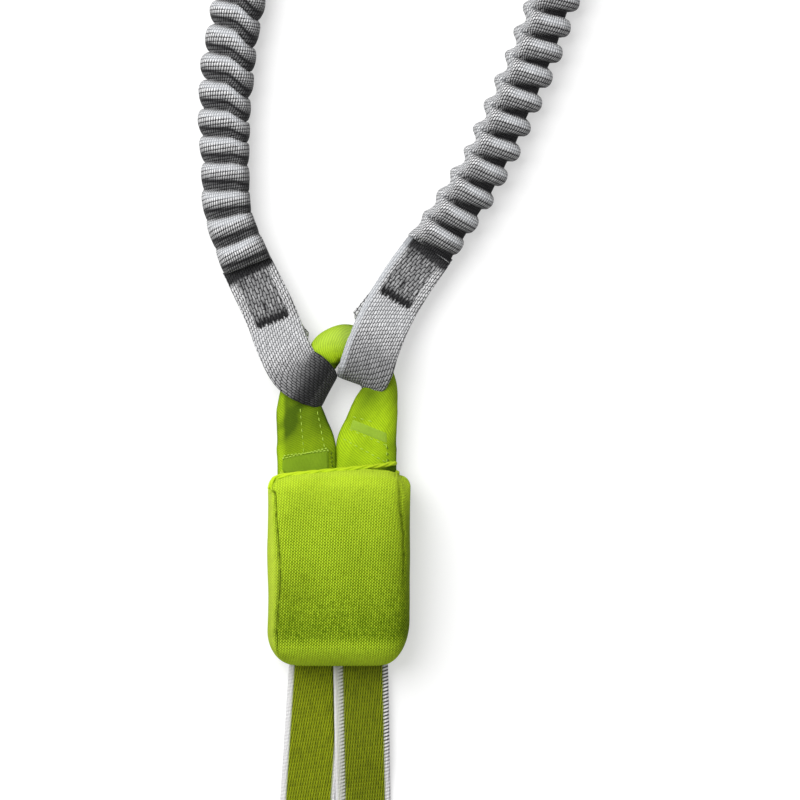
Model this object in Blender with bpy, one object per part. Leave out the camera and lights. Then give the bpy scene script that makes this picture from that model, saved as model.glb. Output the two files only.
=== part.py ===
"""Via ferrata lanyard, laid out flat on its back: a pouch with folded tear webbing, a link loop, two
stretch arms with palm-lever carabiners, and the tie-in webbing.

Metres, +Z up. The origin is the centre of the pouch's flat back, and the arms run off towards +Y.
"""
from math import atan2, cos, pi, radians, sin, sqrt

import bpy
from mathutils import Matrix, Vector

# Shared sizes
seam_gap = 0.0003           # between pieces that touch or are sewn together
cutter_overrun = 0.001      # how far a cutter runs past the wall it cuts
web_thickness = 0.0020      # arm webbing
web_edge_share = 0.3        # how much of a webbing edge is softened

# Pouch
pouch_width = 0.0568
pouch_bottom_y = -0.0390
pouch_top_left_y = 0.0366
pouch_top_right_y = 0.0422
pouch_wall = 0.0015
back_thickness = 0.0015
pouch_corner = 0.0080
least_corner_share = 0.25    # the tightest corner of an inner ring, as a share of pouch_corner
front_inset = 0.0042        # the front panel's seam lies this far inside the outline
mouth_side_margin = 0.0028
mouth_height = 0.0190
slot_side_margin = 0.0070
bottom_slot_height = 0.0060
mouth_cord_height_share = 0.80
mouth_cord_inset_share = 0.30
mouth_cord_radius = 0.0007
corner_steps = 5
# Height share and inset share of each ring of the front panel, from the back rim to the front
front_ring_shares = [(0.0, 0.25), (0.25, 0.0), (0.62, 0.05), (0.86, 0.38), (0.965, 0.72), (1.0, 1.15)]

# Tie-in webbing
tie_width = 0.0200
tie_thickness = 0.0022
tie_between = 0.0010
tie_inner_end_y = 0.0150
tie_flat_end_y = -0.1000    # the two straps lie flat down to here
tie_turned_y = -0.1440      # and stand on edge from here
tie_drop_length = 0.0120     # outside the pouch the straps come down to the floor over this length
tie_floor_clearance = 0.0002
tie_turn_steps = 8

# Tear webbing, folded to and fro in two stacks
tear_width = 0.0210
tear_thickness = 0.0018
tear_pitch = 0.0024
tear_layers = 11
tear_between = 0.0008
fold_steps = 5

# Link loop: the route of its middle, half widths and half heights, from the left leg to the right one
loop_inner_end_y = 0.0200
loop_sleeve_wall = 0.0013
strand_half = 0.0060        # half the rounded strand where the arms hang on it
leg_half_width = 0.0112
leg_half_height = 0.0034
leg_height_z = 0.0095
left_leg_x = -0.0132
right_leg_x = 0.0108
leg_flat_end_y = 0.0500
left_shoulder = (-0.0182, 0.0610)
left_shoulder_half_width = 0.0068
right_shoulder = (0.0188, 0.0715)
right_shoulder_half_width = 0.0060
right_leg_bend = (0.0150, 0.0590)
right_leg_bend_half_width = 0.0088
crown = (-0.0030, 0.0886)
crown_half = 0.0062
loop_spacing = 0.0050
loop_sides = 12

# Arms
arm_diameter = 0.0200
eye_width = 0.0200
eye_wrap_width = 0.0120
eye_hole_radius = 0.0071    # inside of the eye, round the strand
eye_sewn_start = 0.0290     # from the strand's middle to where both layers meet
eye_sewn_length = 0.0230
strand_z = 0.0097
left_wrap = Vector((-0.0118, 0.0775))
left_wrap_heading = Vector((-0.75, 0.66)).normalized()
right_wrap = Vector((0.0090, 0.0852))
right_wrap_heading = Vector((0.49, 0.87)).normalized()
left_eye_route = [(-0.0225, 0.0910), (-0.0260, 0.0990), (-0.0312, 0.1095), (-0.0390, 0.1250)]
right_eye_route = [(0.0176, 0.1005), (0.0255, 0.1135), (0.0360, 0.1270)]
eye_spacing = 0.0040
wrap_margin = 0.0005         # the strand stays straight this far past the eye's edges
eye_wide_from = 0.0230       # the eye has its full width from this far off the strand
eye_arc_steps = 12
cord_point_spacing = 0.0400

# Routes of the two ruched sleeves, from the eye to the carabiner end
left_route = [(-0.0436, 0.1370), (-0.0450, 0.1500), (-0.0460, 0.1780), (-0.0446, 0.2000),
              (-0.0412, 0.2214), (-0.0375, 0.2500), (-0.0350, 0.2850), (-0.0350, 0.3300), (-0.0375, 0.3800),
              (-0.0400, 0.4300), (-0.0410, 0.4800), (-0.0410, 0.5300), (-0.0410, 0.5900)]
right_route = [(0.0472, 0.1430), (0.0588, 0.1618), (0.0680, 0.1820), (0.0764, 0.2016),
               (0.0836, 0.2214), (0.0905, 0.2450), (0.0960, 0.2750), (0.0975, 0.3100), (0.0935, 0.3500),
               (0.0865, 0.3950), (0.0795, 0.4450), (0.0755, 0.5000), (0.0750, 0.5500), (0.0750, 0.6000)]

# Upper eye and its rubber retainer
upper_eye_width = 0.0170
upper_eye_thickness = 0.0016
upper_eye_hole_radius = 0.0058
upper_sewn_start = 0.0260
upper_sewn_length = 0.0300
retainer_length = 0.0060
retainer_wall = 0.0016
retainer_edge_share = 0.05

# Carabiner, in its own plane: the base bar's middle is the zero point and the top lies towards +Y
bar_z = 0.0075
rod_width = 0.0100
rod_height = 0.0110
bar_half_length = 0.0090
base_arc_radius = 0.0140
spine_length = 0.0660
top_arc_radius = 0.0260
arc_step = radians(12)
rod_sides = 12
round_end_turns = (75, 50, 25, 0)
hinge_rise = 0.0060         # gate hinge above the end of the base arc
hinge_end_radius = 0.0050
tongue_thickness = 0.0040
tongue_half_width = 0.0040
tongue_taper = 0.0006
nose_drop = 0.0030          # how far the full section runs down past the top arc
nose_tongue_length = 0.0050
gate_top_clearance = 0.0016
gate_width = 0.0094
gate_height = 0.0106
gate_bow = 0.0008
slot_clearance = 0.0004
rivet_radius = 0.0012
rivet_hole_radius = 0.0015
rivet_head_radius = 0.0021
rivet_head_height = 0.0006

# Palm lever over the spine
lever_web = 0.0022
lever_side = 0.0014
lever_side_gap = 0.0005
lever_low = 0.0060          # from the start of the spine to the lever's lower end
lever_length = 0.0520
lever_pin_rise = 0.0120     # from the start of the spine to the pin
lever_pin_inset = 0.0010     # the pin lies this far outside the spine's middle
lever_low_gap = 0.0012
lever_high_gap = 0.0062
lever_cover_share = 0.75    # how much of the spine's width the lever's sides cover
lever_stations = 9

oval_power_share = 0.8      # 1 gives a plain oval, less a squarer one
UP = Vector((0, 0, 1))
ACROSS = Vector((1, 0, 0))

SLEEVE_GREY = (0.18, 0.18, 0.185, 1)
WEB_GREY = (0.36, 0.36, 0.37, 1)
LIME = (0.27, 0.44, 0.02, 1)
GREEN = (0.25, 0.42, 0.015, 1)
OLIVE = (0.16, 0.21, 0.008, 1)
WHITE = (0.62, 0.62, 0.60, 1)
YELLOW = (0.55, 0.68, 0.05, 1)
STEEL = (0.55, 0.56, 0.58, 1)
ALUMINIUM = (0.30, 0.31, 0.33, 1)
DARK = (0.03, 0.03, 0.035, 1)


def material(name, colour, roughness, metallic=0.0):
    """A plain Principled material, made once for each name."""
    found = bpy.data.materials.get(name)
    if found:
        return found
    made = bpy.data.materials.new(name)
    made.use_nodes = True
    shader = made.node_tree.nodes["Principled BSDF"]
    shader.inputs["Base Color"].default_value = colour
    shader.inputs["Roughness"].default_value = roughness
    shader.inputs["Metallic"].default_value = metallic
    return made


def add_object(name, data, look, origin=None):
    """Link new mesh or curve data as the named object; a mesh's origin is moved to its pivot."""
    if origin is not None:
        data.transform(Matrix.Translation(-Vector(origin)))
    data.materials.append(look)
    made = bpy.data.objects.new(name, data)
    if origin is not None:
        made.location = origin
    bpy.context.collection.objects.link(made)
    return made


def loft(name, rings, look, origin=None, joined=False):
    """A closed body through rings of equal count. joined runs the last ring back into the first."""
    points = [point for ring in rings for point in ring]
    count = len(rings[0])
    total = len(rings)
    faces = []
    for row in range(total if joined else total - 1):
        here = row * count
        there = ((row + 1) % total) * count
        for side in range(count):
            ahead = (side + 1) % count
            faces.append((here + side, here + ahead, there + ahead, there + side))
    if not joined:
        faces.append(tuple(reversed(range(count))))
        faces.append(tuple(range((total - 1) * count, total * count)))
    mesh = bpy.data.meshes.new(name)
    mesh.from_pydata([tuple(point) for point in points], [], faces)
    mesh.update()
    face_outward(mesh)
    made = add_object(name, mesh, look, origin)
    mesh.shade_smooth()
    mesh.set_sharp_from_angle(angle=radians(35))
    return made


def face_outward(mesh):
    """Turn the whole surface over if it encloses a negative volume."""
    volume = 0.0
    for polygon in mesh.polygons:
        corners = [mesh.vertices[index].co for index in polygon.vertices]
        for second, third in zip(corners[1:], corners[2:]):
            volume += corners[0].dot(second.cross(third))
    if volume < 0:
        mesh.flip_normals()


def cut(target, cutter):
    """Cut one object out of another; the cutter stays as a hidden wire object."""
    cutter.hide_render = True
    cutter.display_type = "WIRE"
    boolean = target.modifiers.new("cut " + cutter.name, "BOOLEAN")
    boolean.operation = "DIFFERENCE"
    boolean.solver = "EXACT"
    boolean.object = cutter


def box(name, low, high, look, turn=0.0, pivot=None):
    """A box between two corners, turned about +Z round its pivot."""
    around = Vector(pivot) if pivot else Vector((0, 0, 0))
    spin = Matrix.Rotation(turn, 3, "Z")
    rings = []
    for z in (low[2], high[2]):
        corners = [(low[0], low[1]), (high[0], low[1]), (high[0], high[1]), (low[0], high[1])]
        rings.append([spin @ Vector((x, y, z)) + around for x, y in corners])
    return loft(name, rings, look)


def turned_pin(name, centre, profile, look):
    """A round piece on an upright axis, from its (height, radius) profile."""
    sides = 16
    rings = []
    for height, radius in profile:
        turns = [2 * pi * side / sides for side in range(sides)]
        rings.append([Vector(centre) + Vector((radius * cos(a), radius * sin(a), height)) for a in turns])
    return loft(name, rings, look)


def smooth_route(points, spacing):
    """Points about one spacing apart on a smooth curve through the given ones."""
    knots = [Vector(point) for point in points]
    ends = [2 * knots[0] - knots[1]] + knots + [2 * knots[-1] - knots[-2]]
    dense = []
    steps = 12
    for index in range(1, len(ends) - 2):
        before, start, end, after = ends[index - 1:index + 3]
        for step in range(steps):
            t = step / steps
            dense.append(0.5 * (2 * start + (end - before) * t
                                + (2 * before - 5 * start + 4 * end - after) * t ** 2
                                + (3 * start - before - 3 * end + after) * t ** 3))
    dense.append(knots[-1])
    lengths = [0.0]
    for start, end in zip(dense, dense[1:]):
        lengths.append(lengths[-1] + (end - start).length)
    pieces = max(2, round(lengths[-1] / spacing))
    route = []
    row = 0
    for index in range(pieces + 1):
        wanted = lengths[-1] * index / pieces
        while row < len(dense) - 2 and lengths[row + 1] < wanted:
            row += 1
        span = lengths[row + 1] - lengths[row]
        route.append(dense[row].lerp(dense[row + 1], (wanted - lengths[row]) / span))
    return route


def directions(route):
    """The unit direction of a route at each of its points."""
    found = []
    for index in range(len(route)):
        before = route[max(index - 1, 0)]
        after = route[min(index + 1, len(route) - 1)]
        found.append((after - before).normalized())
    return found


def tube(name, route, radius, look, resolution):
    """A plain tube along a route."""
    curve = bpy.data.curves.new(name, "CURVE")
    curve.dimensions = "3D"
    curve.bevel_depth = radius
    curve.bevel_resolution = resolution
    curve.use_fill_caps = True
    spline = curve.splines.new("POLY")
    spline.points.add(len(route) - 1)
    for knot, point in zip(spline.points, route):
        knot.co = (*point, 1)
    return add_object(name, curve, look)


def strap_ring(centre, across, up, width, thickness, edge_share=web_edge_share):
    """One cross-section of webbing: a flat rectangle with softened edges."""
    half_width = width / 2
    half_height = thickness / 2
    soft = thickness * edge_share
    corners = [(half_width, half_height - soft), (half_width - soft, half_height),
               (soft - half_width, half_height), (-half_width, half_height - soft),
               (-half_width, soft - half_height), (soft - half_width, -half_height),
               (half_width - soft, -half_height), (half_width, soft - half_height)]
    return [centre + across * x + up * y for x, y in corners]


def oval_ring(centre, across, up, half_width, half_height, sides):
    """One oval cross-section, square enough to look like a filled fabric tube."""
    ring = []
    for side in range(sides):
        turn = 2 * pi * side / sides
        x = abs(cos(turn)) ** oval_power_share * (1 if cos(turn) > 0 else -1)
        y = abs(sin(turn)) ** oval_power_share * (1 if sin(turn) > 0 else -1)
        ring.append(centre + across * (half_width * x) + up * (half_height * y))
    return ring




def pouch_outline(inset):
    """The pouch seen from above, inside its outer edge by an inset, from the bottom right corner round."""
    radius = max(pouch_corner - inset, pouch_corner * least_corner_share)
    right = pouch_width / 2 - inset - radius
    low = pouch_bottom_y + inset + radius
    top_left = pouch_top_left_y - inset - radius
    top_right = pouch_top_right_y - inset - radius
    points = []
    for corner, centre in enumerate([(right, low), (right, top_right), (-right, top_left), (-right, low)]):
        for step in range(corner_steps + 1):
            turn = radians(90) * (corner - 1 + step / corner_steps)
            points.append((centre[0] + radius * cos(turn), centre[1] + radius * sin(turn)))
    return points


def tie_inner_z():
    """Height of the middle of the tie-in straps inside the pouch."""
    return back_thickness + seam_gap + tie_thickness / 2


def stack_low_z():
    """Underside of the folded tear webbing, on top of the tie-in straps."""
    return tie_inner_z() + tie_thickness / 2 + seam_gap


def pouch_depth():
    """The front panel lies on the folded webbing."""
    stack = (tear_layers - 1) * tear_pitch + tear_thickness
    return stack_low_z() + stack + seam_gap + pouch_wall


def build_pouch():
    """Back panel, front panel with its mouth and its lower slot, and the elastic cord along the mouth."""
    lime = material("lime fabric", LIME, 0.85)
    back_rings = []
    for height in (0, back_thickness):
        back_rings.append([Vector((x, y, height)) for x, y in pouch_outline(0)])
    loft("pouch_back_panel", back_rings, lime)

    rim = back_thickness + seam_gap
    outer = []
    inner = []
    for height_share, inset_share in front_ring_shares:
        inset = front_inset * inset_share
        z = rim + (pouch_depth() - rim) * height_share
        inner_z = rim + (pouch_depth() - pouch_wall - rim) * height_share
        outer.append([Vector((x, y, z)) for x, y in pouch_outline(inset)])
        inner.append([Vector((x, y, inner_z)) for x, y in pouch_outline(inset + pouch_wall)])
    front = loft("pouch_front_panel", list(reversed(inner)) + outer, lime)

    half = pouch_width / 2
    mouth_low = (mouth_side_margin - half, pouch_top_left_y - pouch_corner, rim - cutter_overrun)
    mouth_high = (half - mouth_side_margin, pouch_top_right_y + cutter_overrun, rim + mouth_height)
    cut(front, box("mouth_cutter", mouth_low, mouth_high, lime))
    slot_low = (slot_side_margin - half, pouch_bottom_y - cutter_overrun, rim - cutter_overrun)
    slot_high = (half - slot_side_margin, pouch_bottom_y + pouch_corner, rim + bottom_slot_height)
    cut(front, box("lower_slot_cutter", slot_low, slot_high, lime))

    beside = front_inset * mouth_cord_inset_share - seam_gap - mouth_cord_radius
    cord_z = rim + (pouch_depth() - rim) * mouth_cord_height_share
    first = corner_steps + 1 + corner_steps // 2
    last = 3 * (corner_steps + 1) - corner_steps // 2
    route = [Vector((x, y, cord_z)) for x, y in pouch_outline(beside)[first:last]]
    tube("pouch_mouth_cord", route, mouth_cord_radius, material("yellow cord", YELLOW, 0.6), 2)


def tear_stack(name, middle_x):
    """One webbing folded to and fro; its folds are half circles of half the pitch."""
    low_y = pouch_bottom_y + front_inset * front_ring_shares[-1][1] + pouch_wall + seam_gap
    high_y = loop_inner_end_y - seam_gap
    bend = tear_pitch / 2
    reach = bend + tear_thickness / 2
    rings = []
    for layer in range(tear_layers):
        z = stack_low_z() + tear_thickness / 2 + layer * tear_pitch
        ahead = 1 if layer % 2 == 0 else -1
        start_y, end_y = (low_y + reach, high_y - reach) if ahead > 0 else (high_y - reach, low_y + reach)
        if layer == 0:
            start = Vector((middle_x, start_y, z))
            rings.append(strap_ring(start, ACROSS, UP, tear_width, tear_thickness))
        if layer == tear_layers - 1:
            end = Vector((middle_x, end_y, z))
            rings.append(strap_ring(end, ACROSS, UP * ahead, tear_width, tear_thickness))
            break
        for step in range(fold_steps + 1):
            turn = pi * step / fold_steps
            out = Vector((0, ahead * sin(turn), -cos(turn)))
            centre = Vector((middle_x, end_y, z + bend)) + out * bend
            rings.append(strap_ring(centre, ACROSS, -out * ahead, tear_width, tear_thickness))
    loft(name, rings, material("tear webbing", WHITE, 0.8))


def build_tear_webbing():
    """Two stacks side by side."""
    offset = (tear_width + tear_between) / 2
    tear_stack("tear_webbing_left", -offset)
    tear_stack("tear_webbing_right", offset)


def build_tie_in():
    """Two flat straps out of the pouch that turn on edge and join in one bend."""
    leg_x = (tie_width + tie_between) / 2
    floor_z = tie_thickness / 2 + tie_floor_clearance
    leg = [(tie_inner_end_y, tie_inner_z(), 0), (pouch_bottom_y, tie_inner_z(), 0),
           (pouch_bottom_y - tie_drop_length, floor_z, 0)]
    for step in range(tie_turn_steps + 1):
        share = step / tie_turn_steps
        turn = radians(90) * share * share * (3 - 2 * share)
        z = tie_width / 2 * sin(turn) + tie_thickness / 2 * cos(turn) + tie_floor_clearance
        leg.append((tie_flat_end_y + (tie_turned_y - tie_flat_end_y) * share, z, turn))
    rings = []
    for y, z, turn in leg:
        across = Vector((cos(turn), 0, sin(turn)))
        up = across.cross(Vector((0, -1, 0)))
        rings.append(strap_ring(Vector((-leg_x, y, z)), across, up, tie_width, tie_thickness))
    edge_z = leg[-1][1]
    for step in range(1, tie_turn_steps):
        turn = pi * step / tie_turn_steps
        out = Vector((-cos(turn), -sin(turn), 0))
        centre = Vector((0, tie_turned_y, edge_z)) + out * leg_x
        rings.append(strap_ring(centre, UP, -out, tie_width, tie_thickness))
    for y, z, turn in reversed(leg):
        across = Vector((-cos(turn), 0, sin(turn)))
        up = across.cross(Vector((0, 1, 0)))
        rings.append(strap_ring(Vector((leg_x, y, z)), across, up, tie_width, tie_thickness))
    loft("tie_in_webbing", rings, material("olive webbing", OLIVE, 0.8))


def loop_stations():
    """Along the link loop: x, y, z, half width and half height, from one leg round to the other."""
    legs = (leg_height_z, leg_half_width, leg_half_height)
    shoulder_half = (strand_half + leg_half_height) / 2
    shoulder_z = (strand_z + leg_height_z) / 2
    rounded = (strand_z, strand_half, strand_half)
    wrap_half = eye_wrap_width / 2 + wrap_margin
    left_along = Vector((left_wrap_heading.y, -left_wrap_heading.x))
    right_along = Vector((right_wrap_heading.y, -right_wrap_heading.x))
    stations = [
        (left_leg_x, loop_inner_end_y, *legs),
        (left_leg_x, pouch_top_left_y, *legs),
        (left_leg_x, leg_flat_end_y, *legs),
        (*left_shoulder, shoulder_z, left_shoulder_half_width, shoulder_half),
        (*(left_wrap - left_along * wrap_half), *rounded),
        (*left_wrap, *rounded),
        (*(left_wrap + left_along * wrap_half), *rounded),
        (*crown, strand_z, crown_half, crown_half),
        (*(right_wrap - right_along * wrap_half), *rounded),
        (*right_wrap, *rounded),
        (*(right_wrap + right_along * wrap_half), *rounded),
        (*right_shoulder, strand_z, right_shoulder_half_width, strand_half),
        (*right_leg_bend, shoulder_z, right_leg_bend_half_width, shoulder_half),
        (right_leg_x, leg_flat_end_y, *legs),
        (right_leg_x, pouch_top_left_y, *legs),
        (right_leg_x, loop_inner_end_y, *legs),
    ]
    return smooth_route(stations, loop_spacing)


def loop_rings(inset):
    """Cross-sections of the loop, smaller all round by an inset."""
    stations = loop_stations()
    centres = [Vector(station[:3]) for station in stations]
    rings = []
    for station, centre, along in zip(stations, centres, directions(centres)):
        across = along.cross(UP).normalized()
        rings.append(oval_ring(centre, across, UP, station[3] - inset, station[4] - inset, loop_sides))
    return rings


def build_link_loop():
    """A woven sleeve, open at both ends inside the pouch, with the strong webbing in it."""
    sleeve = loop_rings(0) + list(reversed(loop_rings(loop_sleeve_wall)))
    loft("link_loop_sleeve", sleeve, material("green twill", GREEN, 0.85), joined=True)
    loft("link_loop_core", loop_rings(loop_sleeve_wall + seam_gap), material("tear webbing", WHITE, 0.8))


def along_route(route, headings, distance):
    """Place and direction at a distance along a dense route; below zero it runs straight back."""
    if distance <= 0:
        return route[0] + headings[0] * distance, headings[0]
    travelled = 0.0
    for index in range(len(route) - 1):
        span = (route[index + 1] - route[index]).length
        if travelled + span >= distance:
            share = (distance - travelled) / span
            heading = headings[index].lerp(headings[index + 1], share).normalized()
            return route[index].lerp(route[index + 1], share), heading
        travelled += span
    return route[-1] + headings[-1] * (distance - travelled), headings[-1]


def sewn_eye(name, centre, heading, plan, hole_radius, thickness, sewn, widths, look):
    """A strap folded round a strand or bar and sewn to itself. plan is its route seen from above, sewn
    the start and end of the double stretch, and widths the folded and the full width."""
    start = Vector(centre[:2])
    dense = smooth_route([start, start + heading * hole_radius] + plan, eye_spacing / 4)
    headings = directions(dense)
    headings[0] = heading
    radius = hole_radius + thickness / 2
    lap = (thickness + seam_gap) / 2
    meet, end = sewn
    leave = atan2(lap, meet) + atan2(sqrt(meet ** 2 + lap ** 2 - radius ** 2), radius)
    side = []
    steps = max(2, round((end - meet) / eye_spacing))
    for step in range(steps):
        side.append((end + (meet - end) * step / steps, lap))
    touch = (radius * cos(leave), radius * sin(leave))
    steps = max(2, round((meet - touch[0]) / eye_spacing))
    for step in range(steps):
        share = step / steps
        side.append((meet + (touch[0] - meet) * share, lap + (touch[1] - lap) * share))
    profile = list(side)
    for step in range(eye_arc_steps + 1):
        turn = leave + (2 * pi - 2 * leave) * step / eye_arc_steps
        profile.append((radius * cos(turn), radius * sin(turn)))
    profile += [(s, -z) for s, z in reversed(side)]
    rings = []
    for index, (s, z) in enumerate(profile):
        before = profile[max(index - 1, 0)]
        after = profile[min(index + 1, len(profile) - 1)]
        place, forward = along_route(dense, headings, s)
        forward = forward.to_3d()
        run = (forward * (after[0] - before[0]) + UP * (after[1] - before[1])).normalized()
        across = forward.cross(UP)
        share = min(1, max(0, (s - radius) / (eye_wide_from - radius)))
        width = widths[0] + (widths[1] - widths[0]) * share
        middle = Vector((*place, centre[2] + z))
        rings.append(strap_ring(middle, across, run.cross(across), width, thickness))
    loft(name, rings, look, origin=centre)
    return along_route(dense, headings, end + seam_gap)


def build_arm(side, wrap, heading, eye_route, route):
    """One arm from the link loop to its carabiner. Gives the middle of the carabiner's base bar."""
    webbing = material("grey webbing", WEB_GREY, 0.8)
    plan = [Vector(point) for point in eye_route]
    sewn = (eye_sewn_start, eye_sewn_start + eye_sewn_length)
    widths = (eye_wrap_width, eye_width)
    place, forward = sewn_eye(side + "_lower_eye", Vector((*wrap, strand_z)), heading, plan,
                              eye_hole_radius, web_thickness, sewn, widths, webbing)
    sleeve_z = max(strand_z, arm_diameter / 2 + tie_floor_clearance)
    start = [place, place + forward * arm_diameter / 4]
    knots = [Vector((*point, sleeve_z)) for point in start + [Vector(point) for point in route]]
    sleeve = smooth_route(knots, cord_point_spacing)
    sleeve.insert(1, knots[1])
    tube(side + "_sleeve", sleeve, arm_diameter / 2, material("grey sleeve", SLEEVE_GREY, 0.85), 3)

    end = Vector(route[-1])
    bar_y = end.y + seam_gap + upper_sewn_start + upper_sewn_length
    bar = Vector((end.x, bar_y, bar_z))
    sewn = (upper_sewn_start, upper_sewn_start + upper_sewn_length)
    back = Vector((0, -1))
    plan = [bar.to_2d() + back * distance for distance in sewn]
    sewn_eye(side + "_upper_eye", bar, back, plan, upper_eye_hole_radius, upper_eye_thickness, sewn,
             (upper_eye_width, upper_eye_width), webbing)
    build_retainer(side + "_eye_retainer", bar)
    return bar


def build_retainer(name, bar):
    """A rubber band round both layers of the upper eye."""
    inner_width = upper_eye_width + 2 * seam_gap
    inner_height = 2 * upper_eye_thickness + 3 * seam_gap
    near = bar.y - upper_sewn_start - web_thickness
    rings = []
    for grow, ys in ((2 * retainer_wall, (near, near - retainer_length)), (0, (near - retainer_length, near))):
        for y in ys:
            centre = Vector((bar.x, y, bar.z))
            rings.append(strap_ring(centre, ACROSS, UP, inner_width + grow, inner_height + grow,
                                    retainer_edge_share))
    loft(name, rings, material("black rubber", DARK, 0.7), joined=True)


def hinge_place():
    """The gate's rivet in the carabiner's plane."""
    return Vector((bar_half_length + base_arc_radius, base_arc_radius + hinge_rise, 0))


def top_centre():
    """Centre of the arc over the top of the carabiner."""
    spine_x = -(bar_half_length + base_arc_radius)
    return Vector((spine_x + top_arc_radius, base_arc_radius + spine_length, 0))


def nose_place():
    """Where the full section of the nose ends."""
    return top_centre() + Vector((top_arc_radius, -nose_drop, 0))


def arc_points(centre, radius, first, last):
    """Points of an arc in the carabiner's plane, both ends included."""
    steps = max(2, round(abs(last - first) / arc_step))
    turns = [first + (last - first) * step / steps for step in range(steps + 1)]
    return [centre + Vector((radius * cos(turn), radius * sin(turn), 0)) for turn in turns]


def frame_stations():
    """Middle, half width and half height of each section, from the hinge tongue round to the nose."""
    full = (rod_width / 2, rod_height / 2)
    flat = (tongue_half_width, tongue_thickness / 2)
    hinge = hinge_place()
    stations = []
    for turn in round_end_turns:
        rise = Vector((0, tongue_half_width * sin(radians(turn)), 0))
        stations.append((hinge + rise, tongue_half_width * cos(radians(turn)), tongue_thickness / 2))
    shoulder = hinge - Vector((0, hinge_end_radius + slot_clearance, 0))
    stations.append((shoulder + Vector((0, tongue_taper, 0)), *flat))
    stations.append((shoulder, *full))
    right = Vector((bar_half_length, base_arc_radius, 0))
    left = Vector((-bar_half_length, base_arc_radius, 0))
    stations += [(point, *full) for point in arc_points(right, base_arc_radius, 0, radians(-90))]
    stations += [(point, *full) for point in arc_points(left, base_arc_radius, radians(-90), radians(-180))]
    stations += [(point, *full) for point in arc_points(top_centre(), top_arc_radius, radians(180), 0)]
    nose = nose_place()
    stations.append((nose, *full))
    for drop in (tongue_taper, nose_tongue_length):
        stations.append((nose - Vector((0, drop, 0)), *flat))
    return stations


def build_frame(name, bar, look):
    """The forged rod: base bar, spine, top and nose, with a flat tongue at each end."""
    stations = frame_stations()
    route = [station[0] for station in stations]
    rings = []
    for station, along in zip(stations, directions(route)):
        across = along.cross(UP).normalized()
        rings.append(oval_ring(bar + station[0], across, UP, station[1], station[2], rod_sides))
    return loft(name, rings, look, origin=bar)


def build_gate(name, bar, look):
    """The gate in its closed place, slotted over the hinge tongue and over the nose tongue."""
    hinge = hinge_place()
    reach = nose_place() - Vector((0, gate_top_clearance, 0)) - hinge
    along = reach.normalized()
    across = along.cross(UP)
    half_width = gate_width / 2
    stations = []
    for turn in round_end_turns:
        stations.append((-half_width * sin(radians(turn)), half_width * cos(radians(turn))))
    stations += [(reach.length / 2, half_width + gate_bow), (reach.length, half_width)]
    rings = []
    for distance, half in stations:
        centre = bar + hinge + along * distance
        rings.append(oval_ring(centre, across, UP, half, gate_height / 2, rod_sides))
    gate = loft(name, rings, look, origin=bar + hinge)

    turn = atan2(along.y, along.x) - radians(90)
    pivot = bar + hinge
    slot_half = tongue_thickness / 2 + slot_clearance
    hinge_slot_top = tongue_half_width + 2 * slot_clearance
    cut(gate, box(name + "_hinge_slot", (-gate_width, -gate_width, -slot_half),
                  (gate_width, hinge_slot_top, slot_half), look, turn, pivot))
    nose_slot = reach.length - nose_tongue_length + gate_top_clearance - 3 * slot_clearance
    cut(gate, box(name + "_nose_slot", (-gate_width, nose_slot, -slot_half),
                  (gate_width, reach.length + cutter_overrun, slot_half), look, turn, pivot))
    return gate


def build_lever(name, bar, look):
    """A channel over the outside of the spine; its gap grows upwards, which is its travel."""
    spine_x = -(bar_half_length + base_arc_radius)
    outside = spine_x - rod_width / 2
    edge = outside + rod_width * lever_cover_share
    inner_z = rod_height / 2 + lever_side_gap
    outer_z = inner_z + lever_side
    rings = []
    for station in range(lever_stations):
        share = station / (lever_stations - 1)
        y = base_arc_radius + lever_low + lever_length * share
        inside = outside - lever_low_gap - (lever_high_gap - lever_low_gap) * share
        crown = inside - lever_web
        corners = [(crown, -outer_z), (crown, outer_z), (edge, outer_z), (edge, inner_z),
                   (inside, inner_z), (inside, -inner_z), (edge, -inner_z), (edge, -outer_z)]
        rings.append([bar + Vector((x, y, z)) for x, z in corners])
    return loft(name, rings, look, origin=bar + lever_pin_place())


def lever_pin_place():
    """The palm lever's pin in the carabiner's plane."""
    spine_x = -(bar_half_length + base_arc_radius)
    return Vector((spine_x - lever_pin_inset, base_arc_radius + lever_pin_rise, 0))


def build_carabiner(side, bar):
    """Frame, gate on its rivet, and the palm lever on its pin."""
    alloy = material("grey alloy", ALUMINIUM, 0.35, 1.0)
    steel = material("steel", STEEL, 0.3, 1.0)
    plastic = material("dark plastic", DARK, 0.5)
    frame = build_frame(side + "_carabiner_frame", bar, alloy)
    gate = build_gate(side + "_gate", bar, alloy)
    lever = build_lever(side + "_palm_lever", bar, plastic)

    rivet_at = bar + hinge_place()
    head_low = gate_height / 2 + seam_gap
    head_top = head_low + rivet_head_height
    turned_pin(side + "_gate_rivet", rivet_at, [
        (-head_top, rivet_head_radius), (-head_low, rivet_head_radius), (-head_low, rivet_radius),
        (head_low, rivet_radius), (head_low, rivet_head_radius), (head_top, rivet_head_radius)], steel)
    rivet_hole = turned_pin(side + "_rivet_hole", rivet_at,
                            [(-rod_height, rivet_hole_radius), (rod_height, rivet_hole_radius)], steel)
    pin_at = bar + lever_pin_place()
    pin_top = rod_height / 2 + lever_side_gap + lever_side
    turned_pin(side + "_lever_pin", pin_at, [(-pin_top, rivet_radius), (pin_top, rivet_radius)], steel)
    pin_hole = turned_pin(side + "_pin_hole", pin_at,
                          [(-rod_height, rivet_hole_radius), (rod_height, rivet_hole_radius)], steel)
    cut(frame, rivet_hole)
    cut(gate, rivet_hole)
    cut(frame, pin_hole)
    cut(lever, pin_hole)


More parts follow.
